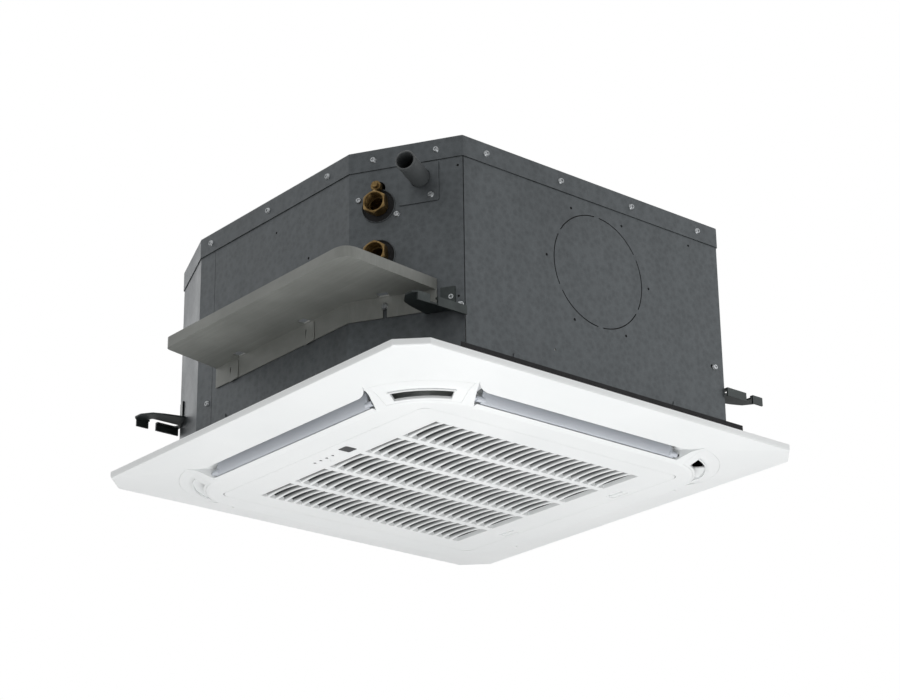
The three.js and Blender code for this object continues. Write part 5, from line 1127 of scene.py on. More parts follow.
def threaded_bore():
    """Cutter for a blind bore whose wider mouth has the V grooves of a thread."""
    narrow = UNION_BORE - UNION_WALL
    floor = UNION_WALL - UNION_IN
    start = UNION_OUT - UNION_BORE_DEPTH
    profile = [(0, floor), (narrow, floor), (narrow, start)]
    for i in range(THREAD_TURNS):
        z = start + i * THREAD_PITCH
        profile += [(UNION_BORE - THREAD_DEPTH, z), (UNION_BORE, z + THREAD_PITCH / 2)]
    profile += [(UNION_BORE, UNION_OUT - UNION_EDGE), (UNION_BORE + UNION_EDGE, UNION_OUT + OVERRUN),
                (0, UNION_OUT + OVERRUN)]
    return turned(profile, 48)


def water_union(level, z):
    end = UNION_OUT - UNION_NUT_LENGTH
    neck = turned([(0, -UNION_IN), (UNION_NECK_RADIUS - UNION_EDGE, -UNION_IN),
                   (UNION_NECK_RADIUS, UNION_EDGE - UNION_IN), (UNION_NECK_RADIUS, end + OVERRUN),
                   (0, end + OVERRUN)], 48)
    nut = chamfered_hexagon(UNION_NUT_RADIUS, end, UNION_OUT, NUT_CHAMFER)
    union = placed(cut(join(neck, nut), threaded_bore()), on_pipe_wall(PIPE_S, z))
    piece(union, f"union_{level}", "brass", [f"water_union_{level}"], rounding=0.3)


def air_vent():
    """Bleed valve over the upper union: stem, fluted cap and a round foot down to the pipe."""
    edge = VENT_CAP_RADIUS - VENT_EDGE
    tap = turned([(0, -VENT_IN), (VENT_RADIUS, -VENT_IN), (VENT_RADIUS, VENT_CAP_LOW - FLUTE_OUT),
                  (edge, VENT_CAP_LOW), (VENT_CAP_RADIUS, VENT_CAP_LOW + VENT_EDGE),
                  (VENT_CAP_RADIUS, VENT_CAP_HIGH - VENT_EDGE), (edge, VENT_CAP_HIGH),
                  (VENT_RADIUS, VENT_CAP_HIGH), (VENT_RADIUS, VENT_TOP - VENT_EDGE),
                  (VENT_RADIUS - VENT_EDGE, VENT_TOP), (0, VENT_TOP)], 48)
    flutes = [disc(x, y, FLUTE_RADIUS, VENT_CAP_LOW - OVERRUN, VENT_CAP_HIGH + OVERRUN, sides=10)
              for x, y in circle(VENT_CAP_RADIUS + FLUTE_OUT, FLUTE_COUNT)]
    tap = placed(cut(tap, *flutes), on_pipe_wall(PIPE_S, VENT_Z))
    foot = disc(PIPE_S, VENT_RADIUS / 2 - VENT_IN, VENT_RADIUS / 2, PIPE_HIGH_Z + PIPE_RADIUS + GAP, VENT_Z,
                PIPE_WALL @ SWAP_YZ, 24)
    piece(join(tap, foot), "bleed_valve", "brass", ["air_vent_valve"], rounding=0.2)


def drain_cock():
    """Drain screw on a flat of the lower union's nut."""
    flat = UNION_NUT_RADIUS * math.cos(math.pi / 6) + GAP
    place = on_pipe_wall(PIPE_S - flat, PIPE_LOW_Z) @ move(0, 0, UNION_OUT - UNION_NUT_LENGTH / 2)
    shank = COCK_LENGTH - COCK_HEAD
    stem = turned([(0, 0), (COCK_RADIUS, 0), (COCK_RADIUS, shank), (0, shank)], 32)
    head = chamfered_hexagon(COCK_HEAD_RADIUS, shank - 0.1, COCK_LENGTH, COCK_CHAMFER)
    screw = placed(join(stem, head), place @ turn_about("Y", -90))
    piece(screw, "drain_screw", "brass", ["drain_cock"], rounding=0.2)


for water_level, water_z in WATER_LEVELS:
    water_union(water_level, water_z)
air_vent()
drain_cock()


# ---------------------------------------------------------------- drainage

DRAIN_WALL = 2
DRAIN_EDGE = 0.5
DRAIN_OUT = 52
DRAIN_SOCKET_IN = 18
DRAIN_HOSE_RADIUS = 6.5
PUMP_SETBACK = 75
PAN_TOP = 80
PUMP_BODY_TOP = PAN_TOP + 48 + 34
PUMP_HOSE_OFFSET = 20

TRAY_FLOOR_Z = 104
TRAY_WALL = 2
TRAY_HEIGHT = 14
TRAY_OUT = 91
TRAY_LEFT_Y = BODY_HALF - 150
TRAY_SKEW = 19
TRAY_FRONT_Y = 14 - BODY_HALF
TRAY_CORNER = 20
TRAY_END = 34
APRON_BOTTOM = HANGER_Z + HANGER_SHEET + 2 * GAP
APRON_WALL = 1.6
APRON_SLOT_CUT = 2 * APRON_WALL + 1
TAB_SLOT = 5
TAB_SLOT_HEIGHT = 19
TRAY_WINDOW = 14
TRAY_WINDOW_S = (105, 242)
TRAY_SLOT_S = (79, 239)
TRAY_TAB_S = 47
TAB_EDGE = 17                    # of the raised panel beside a tab
TAB_TOP_Z = 101.5
TAB_RISE = 1.2


def drain_tube():
    """Drain socket with a stiffening bead at its mouth, and the hose to the pump behind it."""
    r = DRAIN_RADIUS
    end = DRAIN_OUT
    bore = r - DRAIN_WALL
    edge = DRAIN_EDGE
    floor = DRAIN_WALL - DRAIN_SOCKET_IN
    socket = turned([(bore, floor), (0, floor), (0, -DRAIN_SOCKET_IN), (r, -DRAIN_SOCKET_IN), (r, end - 4),
                     (r - edge, end - 3.6), (r - edge, end - 2.6), (r, end - 2.2), (r, end - edge),
                     (r - edge, end), (bore + edge, end), (bore, end - edge)], 64)
    socket = placed(socket, on_pipe_wall(DRAIN_S, DRAIN_Z))
    out = PUMP_HOSE_OFFSET - PUMP_SETBACK
    hose = tube(bezier((0, PUMP_BODY_TOP + GAP, out), (0, DRAIN_Z, out), (0, DRAIN_Z, out),
                       (0, DRAIN_Z, DRAIN_WALL / 2 - DRAIN_SOCKET_IN), 20), DRAIN_HOSE_RADIUS, 20,
                on_pipe_wall(DRAIN_S, 0))
    piece(join(socket, hose), "drain_socket", "grey_plastic", ["drain_tube"])


def drip_tray():
    """Auxiliary tray with a rim, an apron against the casing, and tabs folded out of its floor."""
    end_x, end_y = (PIPE_WALL @ Vector((PIPE_FACET - TRAY_END, 0, 0)))[:2]
    casing = [(-BODY_HALF, TRAY_LEFT_Y), BODY[1], (end_x, end_y)]
    back = inset(casing, -GAP, closed=False)
    start, corner, end = back
    outer = -BODY_HALF - TRAY_OUT
    edge = rounded([start, (outer, TRAY_LEFT_Y - TRAY_SKEW), (outer, TRAY_FRONT_Y), end, corner],
                   [0, TRAY_CORNER / 2, TRAY_CORNER, 0, 0], 12)
    floor_top = TRAY_FLOOR_Z + TRAY_WALL
    rim = TRAY_FLOOR_Z + TRAY_HEIGHT
    inside = inset(edge, TRAY_WALL)
    apron = back + inset(casing, -GAP - APRON_WALL, closed=False)[::-1]
    cuts = [prism(inside, floor_top, rim + OVERRUN),
            prism(inside, floor_top, rim + OVERRUN, move(2 * TRAY_WALL, 0, 0))]
    half = TRAY_WINDOW / 2
    width = TAB_SLOT / 2
    low = APRON_BOTTOM - OVERRUN
    high = APRON_BOTTOM + TAB_SLOT_HEIGHT
    folds = [(LEFT_WALL, *spot) for spot in zip(TRAY_WINDOW_S, TRAY_SLOT_S)]
    folds.append((PIPE_WALL, TRAY_TAB_S, TRAY_TAB_S))
    for place, window, s in folds:
        cuts.append(block(window - half, window + half, TRAY_FLOOR_Z - OVERRUN, floor_top + OVERRUN,
                          GAP + APRON_WALL + OVERRUN, TRAY_WINDOW, place))
        slot = rounded([(s - width, low), (s + width, low), (s + width, high), (s - width, high)],
                       [0, 0, 2, 2])
        cuts.append(prism(slot, -OVERRUN, APRON_SLOT_CUT, place))
    tray = cut(prism(edge, TRAY_FLOOR_Z, rim), *cuts[:2])
    tray = cut(join(tray, prism(apron, APRON_BOTTOM, floor_top)), *cuts[2:])
    piece(tray, "drip_tray_folded", "tray_paint", ["drip_tray"], rounding=0.6)
    for i, s in enumerate(TRAY_SLOT_S):
        panel = rounded([(s - width, APRON_BOTTOM - 2), (s + TAB_EDGE, APRON_BOTTOM),
                         (s + TAB_EDGE, TAB_TOP_Z), (s + 4, TAB_TOP_Z), (s + width, TAB_TOP_Z - width)],
                        [0, 3, 3, 1, 0])
        raised = prism(panel, GAP + APRON_WALL - 0.1, GAP + APRON_WALL + TAB_RISE, LEFT_WALL)
        piece(raised, f"tray_tab_{i + 1}", "tray_paint", rounding=0.4)


drain_tube()
drip_tray()


# ---------------------------------------------------------------- fan

FAN_RADIUS = 150
FAN_EYE = 101
FAN_WALL = 2.5
MOTOR_RADIUS = 68
MOTOR_TOP = BODY_TOP - 25.2
MOTOR_BOTTOM = MOTOR_TOP - 58
MOTOR_STEP = 14
MOTOR_CROWN = 17.7               # above the end of its bore
MOTOR_EAR_RING = MOTOR_RADIUS + 20
MOTOR_EAR = 14
MOTOR_EAR_THICK = 4
FAN_TOP = MOTOR_BOTTOM - 10
FAN_SHROUD_Z = FAN_TOP - 104
FAN_LIP_Z = FAN_SHROUD_Z - 20
SHROUD_REACH = 17
HUB_RADIUS = 15
HUB_TOP = FAN_TOP - 30
HUB_BOTTOM = HUB_TOP - 38
DISH_RADIUS = 60
SHAFT_RADIUS = 5
BLADE_COUNT = 7
BLADE_INNER = FAN_EYE - 4
BLADE_SWEEP = 42
BLADE_THICKNESS = 5
BLADE_STEPS = 14
FAN_SIDES = 96
CURVE_STEPS = 12
BELL_BOTTOM = 20.8
BELL_PLATE = 2.9
BELL_WALL = 2.2
THROAT_RADIUS = FAN_EYE - 6
THROAT_TOP = FAN_LIP_Z + 7
MOUTH_RADIUS = THROAT_RADIUS + 35


def quarter_curve(r0, z0, r1, z1, thick_r, thick_z):
    """The two faces of a quarter-round bell: level at (r0, z0) and upright at (r1, z1)."""
    turns = [math.pi / 2 * i / CURVE_STEPS for i in range(CURVE_STEPS + 1)]
    face = [(r0 + (r1 - r0) * math.sin(t), z1 - (z1 - z0) * math.cos(t)) for t in turns]
    back = [(r + thick_r * math.sin(t), z + thick_z * math.cos(t)) for (r, z), t in zip(face, turns)]
    return face, back


def impeller_shroud():
    face, back = quarter_curve(FAN_EYE + SHROUD_REACH, FAN_SHROUD_Z, FAN_EYE, FAN_LIP_Z, FAN_WALL, -FAN_WALL)
    profile = back[::-1] + [(FAN_RADIUS, FAN_SHROUD_Z - FAN_WALL), (FAN_RADIUS, FAN_SHROUD_Z)] + face
    piece(turned(profile, FAN_SIDES), "wheel_shroud", "fan_plastic", ["impeller_shroud"], "fan_rotor")


def impeller_blade():
    """One backward-curved blade of aerofoil section."""
    faces = []
    for side in (1, -1):
        points = []
        for i in range(BLADE_STEPS + 1):
            share = i / BLADE_STEPS
            radius = BLADE_INNER + (FAN_RADIUS - 1 - BLADE_INNER) * share
            turn = -math.radians(BLADE_SWEEP) * share
            half = side * BLADE_THICKNESS * (0.2 + 0.8 * math.sin(math.pi * share)) / 2 / radius
            points.append((radius * math.cos(turn + half), radius * math.sin(turn + half)))
        faces.append(points)
    return prism(faces[0] + faces[1][::-1], FAN_SHROUD_Z + GAP, FAN_TOP - FAN_WALL / 2)


def impeller():
    """Dished plate with a ribbed hub, and its ring of blades."""
    floor = HUB_TOP - 8
    section = [(SHAFT_RADIUS + GAP, HUB_BOTTOM), (HUB_RADIUS, HUB_BOTTOM), (HUB_RADIUS, floor - FAN_WALL),
               (DISH_RADIUS, HUB_TOP), (BLADE_INNER, FAN_TOP - FAN_WALL), (FAN_RADIUS, FAN_TOP - FAN_WALL),
               (FAN_RADIUS, FAN_TOP), (BLADE_INNER - FAN_WALL, FAN_TOP),
               (DISH_RADIUS - FAN_WALL, HUB_TOP + FAN_WALL), (HUB_RADIUS, floor), (HUB_RADIUS, HUB_TOP),
               (SHAFT_RADIUS + GAP, HUB_TOP)]
    plate = turned(rounded(section, [0, 1, 2, 8, 8, 0, 0.8, 8, 8, 2, 1, 0]), FAN_SIDES)
    blades = in_ring(impeller_blade(), BLADE_COUNT, "fan_plastic")
    piece(join(plate, blades), "wheel", "fan_plastic", ["impeller"], "fan_rotor", rounding=0.5)


def bell_mouth():
    face, back = quarter_curve(MOUTH_RADIUS, BELL_BOTTOM, THROAT_RADIUS, THROAT_TOP, BELL_WALL, BELL_PLATE)
    half = DOOR_HALF + DOOR_GAP + COLLAR_WALL
    plate = hollow(rounded_square(half, DOOR_CORNER), circle(MOUTH_RADIUS + 1, FAN_SIDES), BELL_BOTTOM,
                   BELL_BOTTOM + BELL_PLATE)
    ring = turned([(MOUTH_RADIUS + 2, BELL_BOTTOM + GAP), (MOUTH_RADIUS + 2, BELL_BOTTOM + BELL_PLATE - GAP)]
                  + back + face[::-1], FAN_SIDES)
    piece(join(plate, ring), "bell_mouth", "grey_plastic", ["bellmouth"])


def fan_motor():
    """Motor can with rounded shoulders and three ears."""
    bore = SHAFT_RADIUS + RUNNING_GAP
    shoulder = MOTOR_RADIUS - MOTOR_STEP
    bore_top = MOTOR_TOP - MOTOR_CROWN
    body = rounded([(bore, MOTOR_BOTTOM), (shoulder, MOTOR_BOTTOM), (MOTOR_RADIUS, MOTOR_BOTTOM + MOTOR_STEP),
                    (MOTOR_RADIUS, MOTOR_TOP - MOTOR_STEP), (shoulder, MOTOR_TOP), (0, MOTOR_TOP),
                    (0, bore_top), (bore, bore_top)], [0, 4, 6, 6, 4, 0, 0, 0])
    ears = []
    for i in range(3):
        turn = turn_about("Z", 90 + 120 * i)
        low = MOTOR_TOP - MOTOR_EAR_THICK
        ears.append(disc(MOTOR_EAR_RING, 0, MOTOR_EAR, low, MOTOR_TOP, turn, 40))
        ears.append(block(0, MOTOR_EAR_RING, -MOTOR_EAR, MOTOR_EAR, low, MOTOR_TOP, turn))
    can = join(turned(body, FAN_SIDES), *ears)
    piece(can, "motor_can", "motor", ["fan_motor"], rounding=0.5)


# ---------------------------------------------------------------- fascia

OUTLET_OUTER = BODY_HALF - 9
OUTLET_INNER = OUTLET_OUTER - 24
RING_CORNER = 78
RING_CENTRE = OUTLET_INNER - RING_CORNER
OUTLET_HALF = RING_CENTRE - 12
OUTLET_MOUTH_HALF = OUTLET_HALF + 10
FLARE_HALF = OUTLET_MOUTH_HALF + 24
FLARE_OUT = OUTLET_OUTER + 17
FLARE_START = OUTLET_MOUTH_HALF - 6
FLARE_BEND = 14
DUCT_WALL = 2.5
TAPER_DROP = 14

FASCIA_SIZE = 650
FASCIA_CORNER = 31
RIM_HEIGHT = 8.3
FASCIA_DROP = 30
LIP_DROP = FASCIA_DROP - 11.7
FASCIA_WALL = 3
FASCIA_TOP = BELL_BOTTOM + BELL_PLATE - GAP
UPSTAND_HALF = BODY_HALF + 5

COVER_INNER = RING_CORNER + 3
COVER_OUTER = COVER_INNER + 35
COVER_HALF_ANGLE = 33
COVER_WALL = 1.5
ARC_SLOT_INNER = COVER_INNER + 3
ARC_SLOT_OUTER = ARC_SLOT_INNER + 13
ARC_SLOT_HALF_ANGLE = 23.5
SLOT_WALL = 1.5
SLOT_WALL_BOTTOM = -LIP_DROP - 4
SLOT_WALL_TOP = -8
SLOT_MARGIN = 2
SLOT_MARGIN_ANGLE = 1
SLOT_ROOF = -19
SLOT_OPEN_ANGLES = ((1, 24), (2, 0), (3, 0))     # corner and open part of its slot
FLARE_CHEEK = 8                  # beyond the upper part of the outlet
FLARE_CHEEK_TOP = -1
FLARE_ROOF = -7.5
FLARE_MARGIN = 2
SILL_REACH = 6                   # of the ledge under a louvre's lower edge
SILL_RISE = 1.3
SILL_CLEARANCE = 6.9             # round the louvre's axis
SILL_START = 9                   # degrees past the lowest point
SILL_STEPS = 12

DOOR_HALF = OUTLET_INNER - 33.2
DOOR_CORNER = 13.6
DOOR_WALL = 2.5
DOOR_GAP = 0.4
COLLAR_WALL = 2.8
OPENING_HALF = DOOR_HALF + DOOR_GAP
OPENING_CORNER = DOOR_CORNER - 3
LEDGE_WIDTH = 6
LEDGE_HEIGHT = 2
LEDGE_LOW = DOOR_WALL + 0.9 - FASCIA_DROP
LEDGE_START = 40
HINGE_X = 6 - DOOR_HALF
HINGE_Z = 1.7 - FASCIA_DROP
HINGE_PIN_RADIUS = 1.1
HINGE_PIN_HALF = DOOR_HALF + 0.6

LOUVRE_OUT = OUTLET_INNER + 7
LOUVRE_DROP = FASCIA_DROP - 9
LOUVRE_ABOVE = 17
LOUVRE_BELOW = 5.5
LOUVRE_WALL = 2.2
LOUVRE_CAMBER = 1.6
LOUVRE_HALF_LOW = OUTLET_MOUTH_HALF - 4
LOUVRE_HALF_HIGH = OUTLET_HALF - 1
LOUVRE_BOSS = 3.6
LOUVRE_BOSS_HALF = OUTLET_MOUTH_HALF + 1.3
PIVOT_RADIUS = 2
PIVOT_DEPTH = 6
LOUVRE_PIN_HALF = LOUVRE_BOSS_HALF + PIVOT_DEPTH - GAP
STEPPER_HALF = LOUVRE_BOSS_HALF + 10.2

CORNER_STEPS = 20                # points round a corner of the fascia
FLARE_STEPS = 14                 # points along the flared end of an outlet
LIP_SOFTNESS = 2.5               # rounding where the fascia's faces meet
SIDES = [turn_about("Z", 90 * quarter) for quarter in range(4)]
SIDE_NAMES = ("right", "rear", "far", "left")
CORNER_NAMES = ("pipe", "right", "rear", "left")
CORNER_ANGLE = 225               # direction of the first corner, in degrees
OUTLET_AXES = Matrix(((0, 0, -1, 0), (-1, 0, 0, 0), (0, 1, 0, 0), (0, 0, 0, 1)))


def square_ring(half, corner, z, straight=False):
    """A square ring with round or straight-cut corners; both kinds have matching points."""
    ring = []
    for quarter in range(4):
        for i in range(CORNER_STEPS + 1):
            share = i / CORNER_STEPS
            angle = share * math.pi / 2
            x = half - corner + corner * (1 - share if straight else math.cos(angle))
            y = half - corner + corner * (share if straight else math.sin(angle))
            ring.append(Matrix.Rotation(quarter * math.pi / 2, 3, "Z") @ Vector((x, y, z)))
    return ring


def fascia_form(lift, shrink, top):
    """The fascia's outer form, lifted and carried straight up to a height."""
    inner = OUTLET_INNER - shrink / 3
    outer = OUTLET_OUTER - shrink / 3
    half = FASCIA_SIZE / 2 - shrink
    rings = [square_ring(inner - 10, inner - 10 - RING_CENTRE, lift - FASCIA_DROP),
             square_ring(inner, inner - RING_CENTRE, lift - FASCIA_DROP),
             square_ring(outer, outer - RING_CENTRE, lift - LIP_DROP),
             square_ring(half, FASCIA_CORNER, lift - RIM_HEIGHT, straight=True),
             square_ring(half, FASCIA_CORNER, top, straight=True)]
    return loft(soften(rings, LIP_SOFTNESS))


def mouth_ring(z, grown):
    """The mouth of an outlet in plan: straight inner edge and an outer lip that flares at both ends."""
    tip = (FLARE_HALF + grown, FLARE_OUT + grown)
    flare = bend(tip, (FLARE_HALF - FLARE_BEND, OUTLET_OUTER + grown), (FLARE_START, OUTLET_OUTER + grown),
                 FLARE_STEPS)
    right = [(x, -y) for x, y in flare]
    left = [(-x, -y) for x, y in flare]
    inner = OUTLET_MOUTH_HALF + grown
    edge = grown - OUTLET_INNER
    return at_height([(-inner, edge), *left, *right[::-1], (inner, edge)], z)


def duct_ring(z, grown):
    half = OUTLET_HALF + grown
    out = -OUTLET_OUTER - grown
    shift = 0.8 * 3 / FLARE_STEPS
    ring = [(-half, grown - OUTLET_INNER)]
    ring += [(i * shift - half, out) for i in range(FLARE_STEPS + 1)]
    ring += [(half - i * shift, out) for i in range(FLARE_STEPS, -1, -1)]
    ring.append((half, grown - OUTLET_INNER))
    return at_height(ring, z)


def duct(grown, bottom, top, turn):
    rings = [mouth_ring(z, grown) for z in (bottom, -TAPER_DROP)]
    rings += [duct_ring(z, grown) for z in (0, top)]
    return loft(rings, turn)


def corner_band(inner, outer, start, end, quarter, z0, z1):
    """Part of a ring round a corner's centre, between two angles from the corner's direction."""
    place = turn_about("Z", 90 * quarter) @ move(-RING_CENTRE, -RING_CENTRE, 0)
    return prism(arc_band(inner, outer, CORNER_ANGLE + start, CORNER_ANGLE + end, 40), z0, z1, place)


def corner_sector(inner, outer, half_angle, quarter, z0=-FASCIA_DROP - OVERRUN, z1=0.0):
    return corner_band(inner, outer, -half_angle, half_angle, quarter, z0, z1)


def arc_slot(quarter, growth=0.0):
    return corner_sector(ARC_SLOT_INNER - growth, ARC_SLOT_OUTER + growth, ARC_SLOT_HALF_ANGLE, quarter)


def slot_wall(quarter):
    """Upright wall behind the outer edge of an arched slot."""
    outer = ARC_SLOT_OUTER + GAP + SLOT_WALL
    return corner_sector(ARC_SLOT_OUTER, outer, ARC_SLOT_HALF_ANGLE + SLOT_MARGIN_ANGLE, quarter,
                         SLOT_WALL_BOTTOM, SLOT_WALL_TOP)


def slot_roof(quarter, open_angle):
    """Closes an arched slot above its edges, all but an angle at its first end."""
    reach = ARC_SLOT_HALF_ANGLE + SLOT_MARGIN_ANGLE
    return corner_band(ARC_SLOT_INNER - SLOT_MARGIN, ARC_SLOT_OUTER + SLOT_MARGIN, open_angle - reach, reach,
                       quarter, SLOT_ROOF, SLOT_ROOF + SLOT_WALL)


def outlet_sill(turn):
    """Rounded inner edge of an outlet, hollowed for the swing of its louvre."""
    inner = OUTLET_INNER - OVERRUN
    profile = [(inner, -LOUVRE_DROP), (inner, GAP / 4 - FASCIA_DROP),
               (OUTLET_INNER + SILL_REACH, SILL_RISE - FASCIA_DROP)]
    for i in range(SILL_STEPS + 1):
        angle = math.radians(SILL_START - (SILL_START + 90) * i / SILL_STEPS)
        profile.append((LOUVRE_OUT + SILL_CLEARANCE * math.sin(angle),
                        -LOUVRE_DROP - SILL_CLEARANCE * math.cos(angle)))
    half = OUTLET_MOUTH_HALF + OVERRUN
    return prism(profile, -half, half, turn @ OUTLET_AXES)


def flare_roof(turn):
    """Closes both flared ends of an outlet above the skin, beside the swing of the louvre."""
    start = OUTLET_HALF + FLARE_CHEEK
    inner = OVERRUN - OUTLET_INNER
    parts = []
    for near, far in ((start, FLARE_HALF + FLARE_MARGIN), (-FLARE_HALF - FLARE_MARGIN, -start)):
        cheek = (near, near + SLOT_WALL) if near > 0 else (far - SLOT_WALL, far)
        parts.append(block(near, far, -FLARE_OUT - FLARE_MARGIN, inner, FLARE_ROOF, FLARE_ROOF + SLOT_WALL,
                           turn))
        parts.append(block(*cheek, -OUTLET_OUTER - FLARE_MARGIN, inner, FLARE_ROOF, FLARE_CHEEK_TOP, turn))
    return join(*parts)


def skin_layer(start, end):
    """A layer of the fascia's skin between two depths below its face."""
    return cut(fascia_form(start, 0, start), fascia_form(end, 0, end + OVERRUN))


def pivot_rod(radius, start, end, turn, sides=24):
    axis = turn @ move(0, -LOUVRE_OUT, -LOUVRE_DROP) @ turn_about("Y", 90)
    return disc(0, 0, radius, start, end, axis, sides)


def hinge_rod(radius, half):
    axis = move(HINGE_X, 0, HINGE_Z) @ turn_about("X", -90)
    return disc(0, 0, radius, -half, half, axis, 20)


def ledge():
    outer = OPENING_HALF + COLLAR_WALL / 2
    inner = OPENING_HALF - LEDGE_WIDTH
    high = LEDGE_LOW + LEDGE_HEIGHT
    ring = hollow(rounded_square(outer, DOOR_CORNER), rounded_square(inner, DOOR_CORNER - LEDGE_WIDTH),
                  LEDGE_LOW, high)
    return cut(ring, block(-OUTLET_INNER, LEDGE_START - OPENING_HALF, -OUTLET_INNER, OUTLET_INNER,
                           LEDGE_LOW - OVERRUN, high + OVERRUN))


def fascia_frame():
    low = -FASCIA_DROP - OVERRUN
    collar_half = OPENING_HALF + COLLAR_WALL
    collar = prism(rounded_square(collar_half, OPENING_CORNER + COLLAR_WALL), -FASCIA_DROP,
                   BELL_BOTTOM - GAP)
    inner = cut_square(UPSTAND_HALF - FASCIA_WALL, SEAL_CORNER)
    upstand = hollow(cut_square(UPSTAND_HALF, SEAL_CORNER), inner, -LIP_DROP, 0)
    upstand = keep(upstand, fascia_form(0, 0, FASCIA_TOP))
    ducts = [keep(duct(DUCT_WALL, low, FASCIA_TOP, turn), fascia_form(0, 0, FASCIA_TOP)) for turn in SIDES]
    skin = cut(fascia_form(0, 0, 0), fascia_form(FASCIA_WALL, FASCIA_WALL, OVERRUN))
    body = join(skin, collar, upstand, *ducts)
    body = cut(body, *[duct(0, low, FASCIA_TOP + OVERRUN, turn) for turn in SIDES])
    body = cut(body, prism(rounded_square(OPENING_HALF, OPENING_CORNER), low, FASCIA_TOP + OVERRUN))
    body = join(body, ledge())
    pin_end = STEPPER_HALF + 2 * PIVOT_RADIUS
    cuts = [pivot_rod(PIVOT_RADIUS + RUNNING_GAP, -LOUVRE_PIN_HALF - OVERRUN, pin_end, turn) for turn in SIDES]
    cuts.append(hinge_rod(HINGE_PIN_RADIUS + RUNNING_GAP, HINGE_PIN_HALF + GAP))
    for quarter in range(4):
        sector = corner_sector(COVER_INNER, COVER_OUTER, COVER_HALF_ANGLE, quarter)
        cuts.append(keep(sector, skin_layer(-OVERRUN, COVER_WALL + GAP)))
        cuts.append(arc_slot(quarter, GAP))
    body = join(body, *[slot_wall(quarter) for quarter in range(4)])
    body = join(cut(body, *cuts), *[slot_roof(quarter, angle) for quarter, angle in SLOT_OPEN_ANGLES],
                *[outlet_sill(turn) for turn in SIDES], *[flare_roof(turn) for turn in SIDES])
    piece(body, "fascia_moulding", "fascia_white", ["fascia_frame"], rounding=0.5)


def corner_covers():
    for quarter, name in enumerate(CORNER_NAMES):
        sector = corner_sector(COVER_INNER + GAP, COVER_OUTER - GAP, COVER_HALF_ANGLE - 0.2, quarter)
        cover = cut(keep(sector, skin_layer(0, COVER_WALL)), arc_slot(quarter))
        piece(cover, f"corner_cap_{name}", "fascia_white", [f"corner_cover_{name}"], rounding=0.4)


def louvre_section():
    """Cambered section of a louvre with rounded lips, as (outward, height) points."""
    steps = 16
    sides = ([], [])
    for i in range(steps + 1):
        share = (1 - math.cos(math.pi * i / steps)) / 2
        z = share * (LOUVRE_ABOVE + LOUVRE_BELOW) - LOUVRE_BELOW - LOUVRE_DROP
        bulge = LOUVRE_CAMBER * (1 - (2 * share - 1) ** 2)
        half = LOUVRE_WALL / 2 * (1 - (2 * share - 1) ** 14) ** 0.5
        sides[0].append((bulge + half, z))
        if 0 < i < steps:
            sides[1].append((bulge - half, z))
    return sides[0] + sides[1][::-1]


def louvre(turn, name):
    across = turn @ move(0, -LOUVRE_OUT, 0) @ OUTLET_AXES
    low = -LOUVRE_DROP - LOUVRE_BELOW - OVERRUN
    high = LOUVRE_ABOVE - LOUVRE_DROP + OVERRUN
    ends = prism([(-LOUVRE_HALF_LOW, low), (LOUVRE_HALF_LOW, low), (LOUVRE_HALF_HIGH, high),
                  (-LOUVRE_HALF_HIGH, high)], LOUVRE_OUT - LOUVRE_ABOVE, LOUVRE_OUT + LOUVRE_ABOVE,
                 turn @ turn_about("X", 90))
    blade = keep(prism(louvre_section(), -LOUVRE_HALF_LOW, LOUVRE_HALF_LOW, across), ends)
    blade = join(blade, pivot_rod(LOUVRE_BOSS, -LOUVRE_BOSS_HALF, -LOUVRE_HALF_HIGH, turn),
                 pivot_rod(LOUVRE_BOSS, LOUVRE_HALF_HIGH, LOUVRE_BOSS_HALF, turn),
                 pivot_rod(PIVOT_RADIUS, -LOUVRE_PIN_HALF, -LOUVRE_HALF_HIGH, turn))
    blade = cut(blade, pivot_rod(PIVOT_RADIUS + RUNNING_GAP, LOUVRE_BOSS_HALF - PIVOT_DEPTH - GAP,
                                 LOUVRE_BOSS_HALF + OVERRUN, turn))
    piece(blade, f"air_blade_{name}", "louvre_grey", [f"louvre_{name}"], f"louvre_blade_{name}", rounding=0.3)


fascia_frame()
corner_covers()
for side, side_name in zip(SIDES, SIDE_NAMES):
    louvre(side, side_name)
bell_mouth()
fan_motor()
impeller_shroud()
impeller()


# ---------------------------------------------------------------- intake grille

DOOR_FACE = -FASCIA_DROP
DOOR_TOP = DOOR_FACE + DOOR_WALL
DOOR_RIB_INSET = 8
DOOR_RIB_WALL = 2
DOOR_RIB_HEIGHT = 7.5
SLAT_DEPTH = 5.4
SLAT_LEAN = 1.2
SLAT_STEPS = 8
SLAT_OVERLAP = 0.5               # into the ribs at its ends
ARCH_RISE = 2
SLOT_PITCH = 14.09
SLOT_WIDTH = 10
SLOT_LENGTH = 64
SLOT_RIB = 9.6
SLOT_COLUMNS = 24
SLOT_ROWS = 5
ROW_PITCH = SLOT_LENGTH + SLOT_RIB
FIELD_MARGIN = 1.4
FIELD_TOP = DOOR_FACE + SLAT_DEPTH
FIELD_HALF_X = ((SLOT_COLUMNS - 1) * SLOT_PITCH + SLOT_WIDTH) / 2
FIELD_HALF_Y = (SLOT_ROWS * ROW_PITCH - SLOT_RIB) / 2
PANEL_ROW_X = 20.8 - DOOR_HALF
WINDOW_Y = -35
WINDOW_SIZE = 18
WINDOW_CORNER = 3
LAMP_Y = [-5 + 12.4 * i for i in range(4)]
LAMP_RADIUS = 2
BUTTON_X = PANEL_ROW_X + 10.4
BUTTON_Y = 10
BUTTON_RADIUS = 2.5
LATCH_Y = (-108, 108)
LATCH_LENGTH = 28
LATCH_OPENING = 14
LATCH_EDGE = DOOR_HALF - 4.8
LATCH_FLANGE = 2
LATCH_TRAVEL = 6
RAIL_WALL = 2
RAIL_HEIGHT = 5


